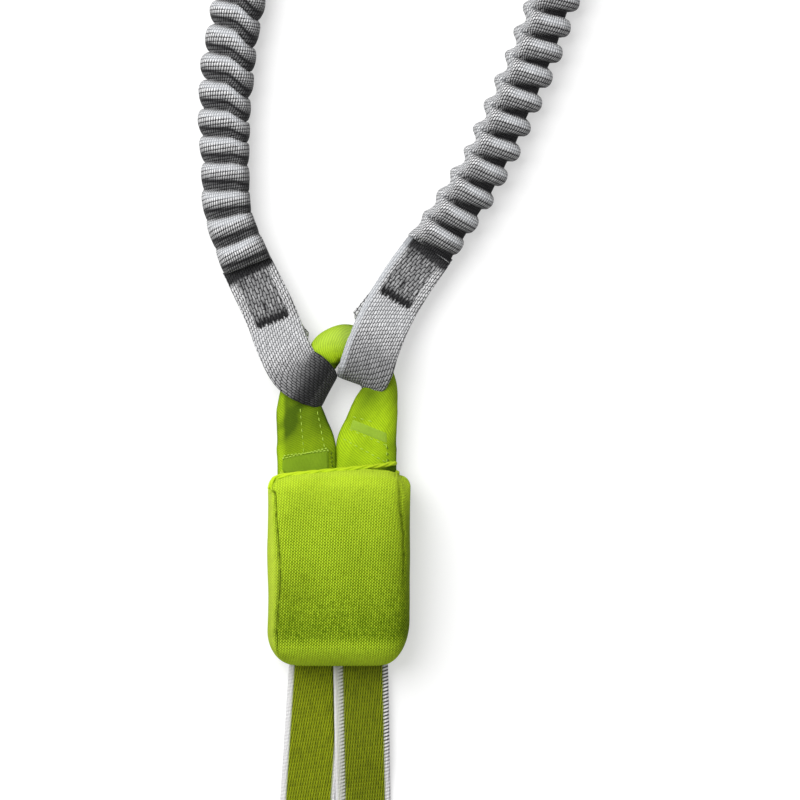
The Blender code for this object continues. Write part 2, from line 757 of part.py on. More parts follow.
def main():
    for old in list(bpy.data.objects):
        bpy.data.objects.remove(old, do_unlink=True)
    build_pouch()
    build_tear_webbing()
    build_tie_in()
    build_link_loop()
    left_bar = build_arm("left", left_wrap, left_wrap_heading, left_eye_route, left_route)
    right_bar = build_arm("right", right_wrap, right_wrap_heading, right_eye_route, right_route)
    build_carabiner("left", left_bar)
    build_carabiner("right", right_bar)


main()
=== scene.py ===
"""The looks of the via ferrata lanyard: cloth pouch, link loop, ruched arms, webbing and carabiners.

Metres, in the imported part's frame: the pouch lies on its back at the origin, the arms run towards +Y.
"""
from math import atan, atan2, copysign, cos, exp, floor, pi, radians, sin, sqrt

import bpy
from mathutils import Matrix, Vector, noise
from mathutils.bvhtree import BVHTree


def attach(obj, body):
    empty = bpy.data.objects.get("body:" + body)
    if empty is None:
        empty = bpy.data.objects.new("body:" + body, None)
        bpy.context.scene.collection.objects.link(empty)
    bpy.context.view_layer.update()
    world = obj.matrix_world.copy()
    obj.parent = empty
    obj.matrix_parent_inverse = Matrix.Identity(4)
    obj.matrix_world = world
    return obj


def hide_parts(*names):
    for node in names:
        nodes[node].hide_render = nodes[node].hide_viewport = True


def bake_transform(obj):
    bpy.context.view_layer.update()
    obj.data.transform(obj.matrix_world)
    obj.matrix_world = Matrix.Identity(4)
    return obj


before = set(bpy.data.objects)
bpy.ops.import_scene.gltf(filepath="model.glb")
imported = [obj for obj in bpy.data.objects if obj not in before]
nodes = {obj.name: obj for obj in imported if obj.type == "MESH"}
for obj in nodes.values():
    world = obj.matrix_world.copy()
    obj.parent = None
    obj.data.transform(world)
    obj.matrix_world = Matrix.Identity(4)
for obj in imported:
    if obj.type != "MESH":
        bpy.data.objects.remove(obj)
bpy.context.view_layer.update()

UP = Vector((0, 0, 1))
ACROSS = Vector((1, 0, 0))

# The photograph's frame
metres_per_pixel = 0.0004
origin_pixel = (339, 567.5)
view_centre = (0.0244, 0.0670)
view_width = 0.320
camera_height = 1.5
sharp_height = 0.010

# Routes shared with the part's solids
left_route = [(-0.0436, 0.1370), (-0.0450, 0.1500), (-0.0460, 0.1780), (-0.0446, 0.2000),
              (-0.0412, 0.2214), (-0.0375, 0.2500), (-0.0350, 0.2850), (-0.0350, 0.3300), (-0.0375, 0.3800),
              (-0.0400, 0.4300), (-0.0410, 0.4800), (-0.0410, 0.5300), (-0.0410, 0.5900)]
right_route = [(0.0472, 0.1430), (0.0588, 0.1618), (0.0680, 0.1820), (0.0764, 0.2016),
               (0.0836, 0.2214), (0.0905, 0.2450), (0.0960, 0.2750), (0.0975, 0.3100), (0.0935, 0.3500),
               (0.0865, 0.3950), (0.0795, 0.4450), (0.0755, 0.5000), (0.0750, 0.5500), (0.0750, 0.6000)]
left_wrap = Vector((-0.0118, 0.0775))
right_wrap = Vector((0.0090, 0.0852))
left_heading = Vector((-0.75, 0.66)).normalized()
right_heading = Vector((0.49, 0.87)).normalized()
part_eyes = {
    "left": (left_wrap, left_heading, [(-0.0225, 0.0910), (-0.0260, 0.0990), (-0.0312, 0.1095), (-0.0390, 0.1250)]),
    "right": (right_wrap, right_heading, [(0.0176, 0.1005), (0.0255, 0.1135), (0.0360, 0.1270)])}
strand_z = 0.0097
sleeve_z = 0.0102
bar_z = 0.0075
fine_step = 0.0005


def at_pixel(x, y):
    """A place on the floor under a pixel of the photograph."""
    return Vector(((x - origin_pixel[0]) * metres_per_pixel, (origin_pixel[1] - y) * metres_per_pixel))


def smooth_step(low, high, value):
    """0 below low, 1 above high, smooth between."""
    share = min(1, max(0, (value - low) / (high - low)))
    return share * share * (3 - 2 * share)


def rough(x, y, z):
    """Smooth noise at a place, from about -1 to 1."""
    return noise.noise(Vector((x, y, z)))


def level(points, where):
    """Straight-line look-up in a sorted table of (place, value)."""
    if where <= points[0][0]:
        return points[0][1]
    for (low, first), (high, second) in zip(points, points[1:]):
        if where <= high:
            return first + (second - first) * (where - low) / (high - low)
    return points[-1][1]


def level_of(table, column, where):
    """The same look-up for one column of a table whose rows start with the place."""
    return level([(row[0], row[column]) for row in table], where)


def spline_points(control, counts):
    """Smooth points through the control points, so many in each stretch, with the stretch each lies in."""
    knots = [Vector(point) for point in control]
    ends = [2 * knots[0] - knots[1]] + knots + [2 * knots[-1] - knots[-2]]
    found = []
    for index, count in enumerate(counts):
        before, start, end, after = ends[index:index + 4]
        for step in range(count):
            t = step / count
            point = 0.5 * (2 * start + (end - before) * t + (2 * before - 5 * start + 4 * end - after) * t ** 2
                           + (3 * start - before - 3 * end + after) * t ** 3)
            found.append((point, index + t))
    found.append((knots[-1], float(len(counts))))
    return found


def running_lengths(points):
    """How far along a line of points each of them lies."""
    lengths = [0.0]
    for start, end in zip(points, points[1:]):
        lengths.append(lengths[-1] + (end - start).length)
    return lengths


def smooth_route(points, spacing):
    """Points at even steps of about one spacing on a smooth curve through the given ones."""
    dense = [point for point, stretch in spline_points(points, [16] * (len(points) - 1))]
    lengths = running_lengths(dense)
    pieces = max(2, round(lengths[-1] / spacing))
    route = []
    row = 0
    for index in range(pieces + 1):
        wanted = lengths[-1] * index / pieces
        while row < len(dense) - 2 and lengths[row + 1] < wanted:
            row += 1
        span = lengths[row + 1] - lengths[row]
        route.append(dense[row].lerp(dense[row + 1], (wanted - lengths[row]) / span))
    return route


def directions(route):
    """The unit direction of a route at each of its points."""
    found = []
    for index in range(len(route)):
        before = route[max(index - 1, 0)]
        after = route[min(index + 1, len(route) - 1)]
        found.append((after - before).normalized())
    return found


def between(rows, spot):
    """The value at a spot, in rows and parts of a row, of a list of vectors."""
    low = min(int(spot), len(rows) - 2)
    return rows[low].lerp(rows[low + 1], spot - low)


def route_length(route):
    return sum((end - start).length for start, end in zip(route, route[1:]))


def squared(turn, wide_power, high_power):
    """A point of a circle pressed towards a square: the lower the powers, the squarer."""
    x, y = cos(turn), sin(turn)
    return copysign(abs(x) ** wide_power, x), copysign(abs(y) ** high_power, y)


def shares(columns):
    """Evenly spaced shares of a half width, from -1 at the left edge to 1 at the right one."""
    return [column / columns * 2 - 1 for column in range(columns + 1)]


def strap_uvs(width_points, travelled):
    """The weave's place round a strap's section: over its upper side, back under it and closed."""
    return [(across, travelled) for across in width_points + width_points[::-1] + width_points[:1]]


# Making meshes

def grid_piece(name, rows, uvs, around=True, joined=False, tint=None, sharp=None):
    """A mesh through rows of points. uvs holds (u, v) in metres for each point, one column more than the
    points when the rows run around; tint holds (dark, pale) or (dark, pale, coarse) for each point: painted
    shade, painted highlight with real pale edges, and where long threads lie."""
    count = len(rows[0])
    total = len(rows)
    points = [tuple(point) for row in rows for point in row]
    faces = []
    corners = []
    for row in range(total if joined else total - 1):
        ahead_row = (row + 1) % total
        for side in range(count if around else count - 1):
            ahead = (side + 1) % count
            faces.append((row * count + side, row * count + ahead, ahead_row * count + ahead,
                          ahead_row * count + side))
            corners += [uvs[row][side], uvs[row][side + 1], uvs[row + 1][side + 1], uvs[row + 1][side]]
    if around and not joined:
        faces.append(tuple(reversed(range(count))))
        faces.append(tuple(range((total - 1) * count, total * count)))
        corners += [uvs[0][side] for side in reversed(range(count))]
        corners += [uvs[-1][side] for side in range(count)]
    mesh = bpy.data.meshes.new(name)
    mesh.from_pydata(points, [], faces)
    layer = mesh.uv_layers.new(name="weave")
    layer.data.foreach_set("uv", [value for corner in corners for value in corner])
    if tint:
        # Paint that the materials read: painted shade and painted highlight, with real pale edges and long threads
        shade_and_stain = mesh.attributes.new("shade_and_stain", "FLOAT_COLOR", "POINT")
        flat = []
        for row in tint:
            for dark, pale, *coarse in row:
                flat += [dark, pale, coarse[0] if coarse else 0.0, 1.0]
        shade_and_stain.data.foreach_set("color", flat)
    piece = finished(name, mesh)
    if sharp:
        mesh.set_sharp_from_angle(angle=radians(sharp))
    return piece


def link_new(name, data):
    """A new object in the scene."""
    made = bpy.data.objects.new(name, data)
    bpy.context.collection.objects.link(made)
    return made


def finished(name, mesh):
    """The object of a new mesh, smooth and facing outwards."""
    mesh.update()
    face_outward(mesh)
    mesh.shade_smooth()
    return link_new(name, mesh)


def face_outward(mesh):
    """Turn the whole surface over if it encloses a negative volume."""
    volume = 0.0
    for polygon in mesh.polygons:
        corners = [mesh.vertices[index].co for index in polygon.vertices]
        for second, third in zip(corners[1:], corners[2:]):
            volume += corners[0].dot(second.cross(third))
    if volume < 0:
        mesh.flip_normals()


def dress(piece, look, slot, body, *replaced):
    """Give a finished piece its material, its body and the nodes it stands for; slot is not used."""
    if not piece.data.materials:
        piece.data.materials.append(look)
    if body:
        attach(piece, body)
    if replaced:
        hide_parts(*replaced)
    return piece


# Materials

class Wiring:
    """Short calls that add nodes to one tree."""

    def __init__(self, tree):
        self.tree = tree

    def feed(self, socket, value):
        """Link an output to a socket, or set the socket's own value."""
        if hasattr(value, "is_output"):
            self.tree.links.new(value, socket)
        else:
            socket.default_value = value

    def add(self, kind, inputs=None, **settings):
        """A new node with its settings, and with inputs given by name or number."""
        node = self.tree.nodes.new(kind)
        for key, value in settings.items():
            setattr(node, key, value)
        for key, value in (inputs or {}).items():
            self.feed(node.inputs[key], value)
        return node

    def math(self, operation, first, second=0.0, third=0.0):
        return self.add("ShaderNodeMath", {0: first, 1: second, 2: third}, operation=operation).outputs[0]

    def mix(self, share, first, second):
        return self.add("ShaderNodeMix", {0: share, 6: first, 7: second}, data_type="RGBA").outputs[2]

    def noise(self, vector, scale, detail=2.0, roughness=0.5):
        inputs = {"Vector": vector, "Scale": scale, "Detail": detail, "Roughness": roughness}
        return self.add("ShaderNodeTexNoise", inputs).outputs["Fac"]

    def scaled(self, vector, scale):
        return self.add("ShaderNodeMapping", {"Vector": vector, "Scale": scale}).outputs["Vector"]

    def range(self, value, low, high, new_low=0.0, new_high=1.0):
        inputs = {"Value": value, "From Min": low, "From Max": high, "To Min": new_low, "To Max": new_high}
        return self.add("ShaderNodeMapRange", inputs).outputs["Result"]

    def parts(self, vector):
        """The X, Y and Z of a vector."""
        return self.add("ShaderNodeSeparateXYZ", {0: vector}).outputs

    def shade_and_stain(self):
        """The piece's paint: Red is painted shade, Green painted highlight and real pale edges, and Blue where long
        threads and notches lie.
        """
        paint = self.add("ShaderNodeAttribute", attribute_name="shade_and_stain").outputs["Color"]
        return self.add("ShaderNodeSeparateColor", {0: paint}).outputs

    def place(self):
        """The piece's own UV map, in metres."""
        return self.add("ShaderNodeUVMap", uv_map="weave").outputs["UV"]

    def group(self, group, vector, **values):
        """The outputs of a shared group with its own values."""
        return self.add("ShaderNodeGroup", {"Vector": vector, **values}, node_tree=group).outputs

    def bump(self, shader, height, distance):
        relief = self.add("ShaderNodeBump", {"Height": height, "Distance": distance})
        self.feed(shader.inputs["Normal"], relief.outputs["Normal"])

    def to_eye(self):
        """1 for what the camera sees, straight or in a reflection, and 0 for light that only falls on things."""
        seen = self.add("ShaderNodeLightPath").outputs
        return self.math("MAXIMUM", seen["Is Camera Ray"], seen["Is Glossy Ray"])


def float_inputs(tree, inputs):
    """Named float inputs with their defaults, and the identifier of each."""
    found = {}
    for label, value in inputs:
        socket = tree.interface.new_socket(name=label, in_out="INPUT", socket_type="NodeSocketFloat")
        socket.default_value = value
        found[label] = socket.identifier
    return found


def new_group(name, inputs, outputs):
    """An empty shader group with a vector and float inputs (name, default), and named float outputs."""
    tree = bpy.data.node_groups.new(name, "ShaderNodeTree")
    tree.interface.new_socket(name="Vector", in_out="INPUT", socket_type="NodeSocketVector")
    float_inputs(tree, inputs)
    for label in outputs:
        tree.interface.new_socket(name=label, in_out="OUTPUT", socket_type="NodeSocketFloat")
    w = Wiring(tree)
    return tree, w, w.add("NodeGroupInput").outputs, w.add("NodeGroupOutput").inputs


def make_bead_weave():
    """Columns of rounded dashes of thread. Each column is shifted along by Step of a dash."""
    tree, w, given, result = new_group(
        "bead weave", [("Across", 0.001), ("Along", 0.001), ("Slant", 0.0), ("Step", 0.5), ("Waver", 0.1)],
        ["Height", "Thread", "Slit"])
    place = w.parts(given["Vector"])
    slid = w.math("MULTIPLY_ADD", place["Y"], given["Slant"], place["X"])
    waver = w.math("MULTIPLY", w.math("SUBTRACT", w.noise(given["Vector"], 420.0), 0.5), given["Waver"])
    column = w.math("ADD", w.math("DIVIDE", slid, given["Across"]), w.math("MULTIPLY", waver, 3.0))
    number = w.math("FLOOR", column)
    row = w.math("ADD", w.math("DIVIDE", place["Y"], given["Along"]),
                 w.math("MULTIPLY_ADD", number, given["Step"], waver))
    round_across = w.math("SINE", w.math("MULTIPLY", w.math("FRACT", column), pi))
    round_along = w.math("SINE", w.math("MULTIPLY", w.math("FRACT", row), pi))
    w.feed(result["Height"], w.math("MULTIPLY", round_across, w.math("POWER", round_along, 0.6)))
    w.feed(result["Slit"], w.math("MULTIPLY", w.range(round_across, 0.75, 0.10),
                                  w.range(round_along, 0.35, 0.85)))
    cell = w.add("ShaderNodeCombineXYZ", {0: number, 1: w.math("FLOOR", row)}).outputs[0]
    white = w.add("ShaderNodeTexWhiteNoise", {"Vector": cell}, noise_dimensions="2D")
    w.feed(result["Thread"], white.outputs["Value"])
    return tree


def make_melange():
    """Streaks of lighter and darker yarn, running across and along like linen."""
    tree, w, given, result = new_group("melange", [("Fine", 1.0)], ["Colour"])
    across, along = (w.noise(w.scaled(given["Vector"], scale), given["Fine"], 2.0, 0.6)
                     for scale in ((260, 2300, 1), (2100, 280, 1)))
    w.feed(result["Colour"], w.range(w.math("ADD", across, along), 0.78, 1.22))
    return tree


bead_weave = make_bead_weave()
melange = make_melange()


def start_material(name, roughness, metallic=0.0, sheen=0.0, specular=None):
    """A new material with its Principled shader and the wiring of its tree."""
    made = bpy.data.materials.new(name)
    made.use_nodes = True
    shader = made.node_tree.nodes["Principled BSDF"]
    values = {"Roughness": roughness, "Metallic": metallic, "Sheen Weight": sheen, "Sheen Roughness": 0.5}
    if specular is None and not metallic and roughness > 0.55:
        specular = 0.10
    if specular is not None:
        values["Specular IOR Level"] = specular
    for label, value in values.items():
        shader.inputs[label].default_value = value
    return made, shader, Wiring(made.node_tree)


def shaded_and_stained(w, colour, dark_colour, pale_colour):
    """Darken and lighten a colour by the piece's paint: painted shade, and painted highlight with real pale edges.
    """
    shade_and_stain = w.shade_and_stain()
    return w.mix(shade_and_stain["Green"], w.mix(shade_and_stain["Red"], colour, dark_colour), pale_colour)


def weave_sizes(across, along, slant, step, waver):
    """A bead weave's values: dash width and pitch in metres, lean, shift from column to column, unevenness."""
    return {"Across": across, "Along": along, "Slant": slant, "Step": step, "Waver": waver}


def webbing(name, light, dark, fine, relief, contrast=(0.10, 0.62), deep=(0.01, 0.01, 0.011, 1),
            pale=(0.60, 0.62, 0.65, 1), stripe=0.0, coarse=None, slits=False):
    """Woven webbing in dashes of uneven thread, darker between them. fine has its weave's values, and coarse
    those where the paint's Blue channel asks for long threads. stripe is the pitch of the notches in its pale
    edge, as dark as the Blue channel says. deep is the colour of the painted shade, and pale that of the painted
    highlight and of real pale edges. With slits the gaps between the threads are dark only in the middle of each
    row."""
    made, shader, w = start_material(name, 0.70, sheen=0.02)
    place = w.place()
    weave = w.group(bead_weave, place, **fine)
    height = weave["Height"]
    if coarse:
        long_height = w.group(bead_weave, place, **coarse)["Height"]
        height = w.math("MULTIPLY_ADD", w.shade_and_stain()["Blue"], w.math("SUBTRACT", long_height, height), height)
    uneven = w.noise(w.scaled(place, (700, 160, 1)), 1.0, 2.0, 0.6)
    thread = w.math("MULTIPLY_ADD", weave["Thread"], 0.25, w.math("MULTIPLY", uneven, 0.75))
    if slits:
        lit = w.math("MULTIPLY_ADD", weave["Slit"], -1.10, w.range(height, -0.55, 0.55))
    else:
        lit = w.range(height, *contrast)
    share = w.math("MULTIPLY", lit, w.range(thread, 0.2, 0.6, 0.6, 1.0))
    edge = pale
    if stripe:
        parts = w.parts(place)
        leaning = w.math("MULTIPLY_ADD", parts["X"], 0.35, parts["Y"])
        wave = w.math("SINE", w.math("MULTIPLY", leaning, 2 * pi / stripe))
        notch = w.math("MULTIPLY", w.range(wave, 0.35, -0.55), w.shade_and_stain()["Blue"])
        edge = w.mix(notch, pale, (0.045, 0.045, 0.055, 1))
    # The paint mixes in deep as painted shade, and pale as painted highlight and real pale edges
    w.feed(shader.inputs["Base Color"], shaded_and_stained(w, w.mix(share, dark, light), deep, edge))
    w.bump(shader, height, relief)
    return made


def twill(name, light, dark, pitch, relief):
    """Green twill: fine slanting ribs of dashes with soft patches of shade."""
    made, shader, w = start_material(name, 0.8)
    slant = -1.25
    place = w.place()
    ribs = w.group(bead_weave, place, **weave_sizes(pitch, pitch * 1.6, slant, 0.37, 0.08))
    parts = w.parts(place)
    slid = w.math("MULTIPLY_ADD", parts["Y"], slant, parts["X"])
    slid = w.math("MULTIPLY_ADD", w.noise(place, 500.0), pitch * 0.5, slid)
    line = w.math("SINE", w.math("MULTIPLY", slid, 2 * pi / pitch))
    cloudy = w.noise(place, 130.0, 3.0)
    ribbed = w.math("MULTIPLY", w.range(line, -1.0, 0.6, 0.48, 1.0), w.range(ribs["Height"], 0.0, 0.7, 0.80, 1.0))
    tone = w.math("MULTIPLY", ribbed, w.range(cloudy, 0.3, 0.7, 0.7, 1.0))
    # The paint mixes in a dark green as painted shade and a pale green as painted highlight
    w.feed(shader.inputs["Base Color"], shaded_and_stained(w, w.mix(tone, dark, light), (0.035, 0.075, 0.002, 1),
                                                (0.50, 0.68, 0.16, 1)))
    w.bump(shader, ribs["Height"], relief)
    return made


def lime_cloth(name):
    """The pouch's melange cloth: small yellow-green dashes on darker yarn, uneven from thread to thread. It is
    plainer towards the mouth, and painted light makes it lighter up the front and lightest where the bottom
    turns under."""
    made, shader, w = start_material(name, 0.85, specular=0.03)
    place = w.place()
    streaks = w.group(melange, place, Fine=1.0)
    weave = w.group(bead_weave, place, **weave_sizes(0.00064, 0.00116, 0.05, 0.5, 0.09))
    up = w.parts(w.add("ShaderNodeTexCoord").outputs["Object"])["Y"]
    # How much of the weave's contrast shows: less towards the mouth
    worn = w.range(up, 0.036, 0.004, 0.34, 1.0)
    cloudy = w.math("SUBTRACT", w.noise(place, 90.0, 3.0), 0.5)
    # Random cloudiness and painted light: lighter up the front, and much lighter where the bottom turns under
    cloud_and_painted_light = w.math("MULTIPLY_ADD", cloudy, 0.35, w.range(up, -0.022, 0.034, -0.30, 0.80))
    cloud_and_painted_light = w.math("ADD", cloud_and_painted_light, w.range(up, -0.0265, -0.0380, 0.0, 1.85))
    swing = w.math("MULTIPLY_ADD", w.range(weave["Height"], 0.12, 0.62), 2.15,
                   w.math("MULTIPLY", streaks["Colour"], 0.46))
    swing = w.math("MULTIPLY_ADD", w.math("SUBTRACT", weave["Thread"], 0.5), 0.34, swing)
    tone = w.math("MULTIPLY_ADD", w.math("SUBTRACT", swing, 1.38), worn, cloud_and_painted_light)
    colour = w.mix(tone, (0.050, 0.108, 0.0004, 1), (0.55, 0.765, 0.034, 1))
    # The paint's colours: a dark green as painted shade and a pale green as painted highlight
    w.feed(shader.inputs["Base Color"], shaded_and_stained(w, colour, (0.04, 0.07, 0.001, 1), (0.60, 0.76, 0.07, 1)))
    w.bump(shader, weave["Height"], 0.00016)
    return made


def plain_look(name, colour, worn, roughness, metallic=0.0, grain=900.0, relief=0.00002):
    """Metal, rubber or plastic: fine grain, uneven roughness and a little wear."""
    made, shader, w = start_material(name, roughness, metallic)
    place = w.add("ShaderNodeTexCoord").outputs["Object"]
    fine = w.noise(place, grain, 4.0, 0.6)
    broad = w.noise(place, grain * 0.06, 3.0)
    w.feed(shader.inputs["Base Color"], w.mix(w.range(broad, 0.45, 0.75), colour, worn))
    w.feed(shader.inputs["Roughness"], w.range(fine, 0.3, 0.7, roughness * 0.8, min(1.0, roughness * 1.25)))
    w.bump(shader, fine, relief)
    return made


# deep is the near-black of the painted groove shade, and the default pale gives the painted highlight
ruched_grey = webbing("ruched grey webbing", (0.90, 0.90, 0.91, 1), (0.032, 0.032, 0.034, 1),
                      weave_sizes(0.00104, 0.00170, 0.10, 0.07, 0.12), 0.0003,
                      contrast=(0.24, 0.64), deep=(0.004, 0.004, 0.005, 1))
# deep is the painted shade at the fold and gaps; pale is the painted highlight and the real selvedge
eye_grey = webbing("streaky grey webbing", (0.72, 0.72, 0.73, 1), (0.022, 0.022, 0.024, 1),
                   weave_sizes(0.00096, 0.00190, 0.06, 0.27, 0.30), 0.0003,
                   contrast=(0.13, 0.50), deep=(0.006, 0.006, 0.007, 1),
                   coarse=weave_sizes(0.00120, 0.0034, 0.12, 0.46, 0.42))
green_twill = twill("green twill", (0.52, 0.76, 0.014, 1), (0.085, 0.18, 0.001, 1), 0.00135, 0.0001)
patch_green = twill("darker green tape", (0.27, 0.43, 0.020, 1), (0.11, 0.21, 0.006, 1), 0.00060, 0.0001)
patch_tape = twill("light green tape", (0.38, 0.57, 0.055, 1), (0.22, 0.38, 0.02, 1), 0.00060, 0.0001)
lime_melange = lime_cloth("lime melange cloth")
# deep colours the painted shadow of the upper strap; pale is the real white selvedge with its notches
olive_weave = webbing("olive webbing", (0.262, 0.318, 0.005, 1), (0.022, 0.032, 0.0005, 1),
                      weave_sizes(0.00100, 0.00163, 0.12, 0.06, 0.09), 0.0002,
                      deep=(0.015, 0.02, 0.001, 1), pale=(0.74, 0.73, 0.74, 1), stripe=0.0014, slits=True)
white_weave = webbing("white webbing", (0.78, 0.78, 0.76, 1), (0.40, 0.40, 0.39, 1),
                      weave_sizes(0.0010, 0.0012, 0.0, 0.5, 0.1), 0.0002)
yellow_thread = plain_look("yellow green cord", (0.52, 0.70, 0.020, 1), (0.42, 0.60, 0.012, 1), 0.7)
green_thread = plain_look("light green thread", (0.46, 0.66, 0.09, 1), (0.38, 0.56, 0.05, 1), 0.6)
dark_thread = plain_look("dark green thread", (0.10, 0.17, 0.01, 1), (0.14, 0.22, 0.01, 1), 0.6)
grey_alloy = plain_look("grey anodised alloy", (0.30, 0.31, 0.33, 1), (0.36, 0.37, 0.39, 1), 0.34, 1.0, 1400.0)
core_white = plain_look("white core webbing", (0.78, 0.78, 0.76, 1), (0.66, 0.66, 0.64, 1), 0.8, relief=0.0001)
steel_look = plain_look("steel", (0.56, 0.56, 0.57, 1), (0.48, 0.48, 0.50, 1), 0.25, 1.0, 1800.0)
dark_plastic = plain_look("dark plastic", (0.035, 0.036, 0.04, 1), (0.055, 0.056, 0.06, 1), 0.5, grain=2200.0,
                          relief=0.00004)
black_rubber = plain_look("black rubber", (0.022, 0.022, 0.024, 1), (0.04, 0.04, 0.042, 1), 0.7, grain=1500.0,
                          relief=0.00005)


# View, light and floor

lamps = {"key": {"place": (-0.66, 0.70, 1.32), "size": 1.50, "power": 30.0},
         "fill": {"place": (0.9, 0.1, 1.3), "size": 1.2, "power": 2.0}}
lamp_target = Vector((0.0, 0.08, 0.0))
world_light = 0.34
floor_grey = 0.58
floor_glow = 0.46
floor_half = 3.0


def set_camera():
    """Straight above, at the photograph's scale."""
    camera = bpy.data.cameras.new("camera")
    camera.angle = 2 * atan(view_width / 2 / (camera_height - sharp_height))
    camera.clip_end = 20
    eye = link_new("camera", camera)
    eye.location = (*view_centre, camera_height)
    bpy.context.scene.camera = eye


def set_lamps():
    """Soft light from the upper left, and a little from the right."""
    for name, lamp in lamps.items():
        disk = bpy.data.lights.new(name, "AREA")
        disk.shape = "DISK"
        disk.size = lamp["size"]
        disk.energy = lamp["power"]
        light = link_new(name, disk)
        light.location = lamp["place"]
        aim = lamp_target - Vector(lamp["place"])
        light.rotation_euler = aim.to_track_quat("-Z", "Y").to_euler()


def set_world():
    """Even white light that looks plain white to the camera."""
    world = bpy.data.worlds.new("plain white")
    world.use_nodes = True
    light = world.node_tree.nodes["Background"]
    light.inputs["Color"].default_value = (1, 1, 1, 1)
    light.inputs["Strength"].default_value = world_light
    w = Wiring(world.node_tree)
    plain = w.add("ShaderNodeBackground", {"Strength": 1.0})
    choose = w.add("ShaderNodeMixShader", {0: w.to_eye(), 1: light.outputs[0], 2: plain.outputs[0]})
    w.feed(world.node_tree.nodes["World Output"].inputs["Surface"], choose.outputs[0])
    bpy.context.scene.world = world


def set_floor():
    """A white floor; its glow, which only the camera sees, keeps its shadows as light as the photograph's."""
    mesh = bpy.data.meshes.new("floor")
    corners = [(x * floor_half, y * floor_half, 0) for x, y in ((-1, -1), (1, -1), (1, 1), (-1, 1))]
    mesh.from_pydata(corners, [], [(0, 1, 2, 3)])
    ground = link_new("floor", mesh)
    made, shader, w = start_material("white floor", 0.9, specular=0.0)
    shader.inputs["Base Color"].default_value = (floor_grey, floor_grey, floor_grey, 1)
    glow = w.add("ShaderNodeEmission", {"Strength": w.math("MULTIPLY", w.to_eye(), floor_glow)})
    together = w.add("ShaderNodeAddShader", {0: shader.outputs[0], 1: glow.outputs[0]})
    w.feed(made.node_tree.nodes["Material Output"].inputs["Surface"], together.outputs[0])
    mesh.materials.append(made)


# Ruched arms

ridge_pitch = 0.0107
ridge_steps = 20
sleeve_sides = 80
sleeve_powers = (0.85, 0.78)
sleeve_weave_half = Vector((0.0104, 0.0080))
sleeve_half_height = 0.0088
pleat_depth = 0.0052
lowest_thread = 0.0003
closing_length = 0.010
sleeve_sink = 0.0008
weave_droop = 0.0045
knot_spacing = 0.020
# Painted shade through one pitch of the pleats, darkest in the grooves: (share of the pitch, darkness)
pleat_shade = [(0.0, 0.78), (0.06, 0.74), (0.19, 0.78), (0.25, 0.97), (0.31, 0.95), (0.37, 0.54), (0.50, 0.28),
               (0.63, 0.06), (0.72, 0.0), (0.92, 0.0), (0.97, 0.45), (1.0, 0.78)]
finger_shade = [(0.0, 0.97), (0.16, 0.97), (0.22, 0.80), (0.30, 0.52), (0.42, 0.50), (0.52, 0.62), (0.60, 0.50),
                (0.68, 0.16), (0.74, 0.0), (0.95, 0.0), (0.975, 0.6), (1.0, 0.97)]
groove_share = 0.2


def swung_pleat(part, from_crease, thin, lit):
    """Gap, dip, painted shade and painted highlight of a pleat that swings through to the other side, at a part of
    its pitch. The thin side gets more painted shade.
    """
    leaning = part ** 1.35
    power = 0.42 + 0.60 * smooth_step(0.0, 0.40, from_crease) - 0.20 * smooth_step(0.75, 1.0, from_crease)
    gap = 1 - (4 * leaning * (1 - leaning)) ** (power / 2)
    return gap, gap, level(pleat_shade, part) * (1 - 0.35 * thin) + 0.44 * thin, 0.64 * lit * (1 - thin)


def fingered_pleat(part, from_crease, past_crease, distance, lit):
    """The same for a pleat like a finger, with a groove beside it that narrows to a point at the crease; painted
    shade fills the groove.
    """
    near = smooth_step(-0.20, 0.16, past_crease)
    wedge = max(0.02, (0.33 - 0.11 * smooth_step(0.05, 0.25, distance)) * from_crease ** 0.8)
    if part < wedge:
        looked = groove_share * part / wedge
    else:
        looked = groove_share + (1 - groove_share) * (part - wedge) / (1 - wedge)
    finger = max(0.0, (looked - groove_share) / (1 - groove_share))
    ridge = near * (4 * finger * (1 - finger)) ** 0.42 + (1 - near) * (0.5 + 0.5 * cos(2 * pi * part)) ** 1.2
    gap = 1 - ridge
    dark = level(finger_shade, looked) * near * (0.30 + 0.70 * smooth_step(0.0, 0.30, from_crease))
    # Painted shade in a spot at the crease
    dark += 0.85 * exp(-((past_crease + 0.05) / 0.05) ** 2 - (min(part, 1 - part) / 0.05) ** 2)
    # Painted highlight on the lit band and on the thin side
    pale = 0.60 * lit * near * smooth_step(0.10, 0.45, from_crease) + 0.42 * (1 - near)
    return gap, gap * (0.12 + 0.88 * near), dark, pale


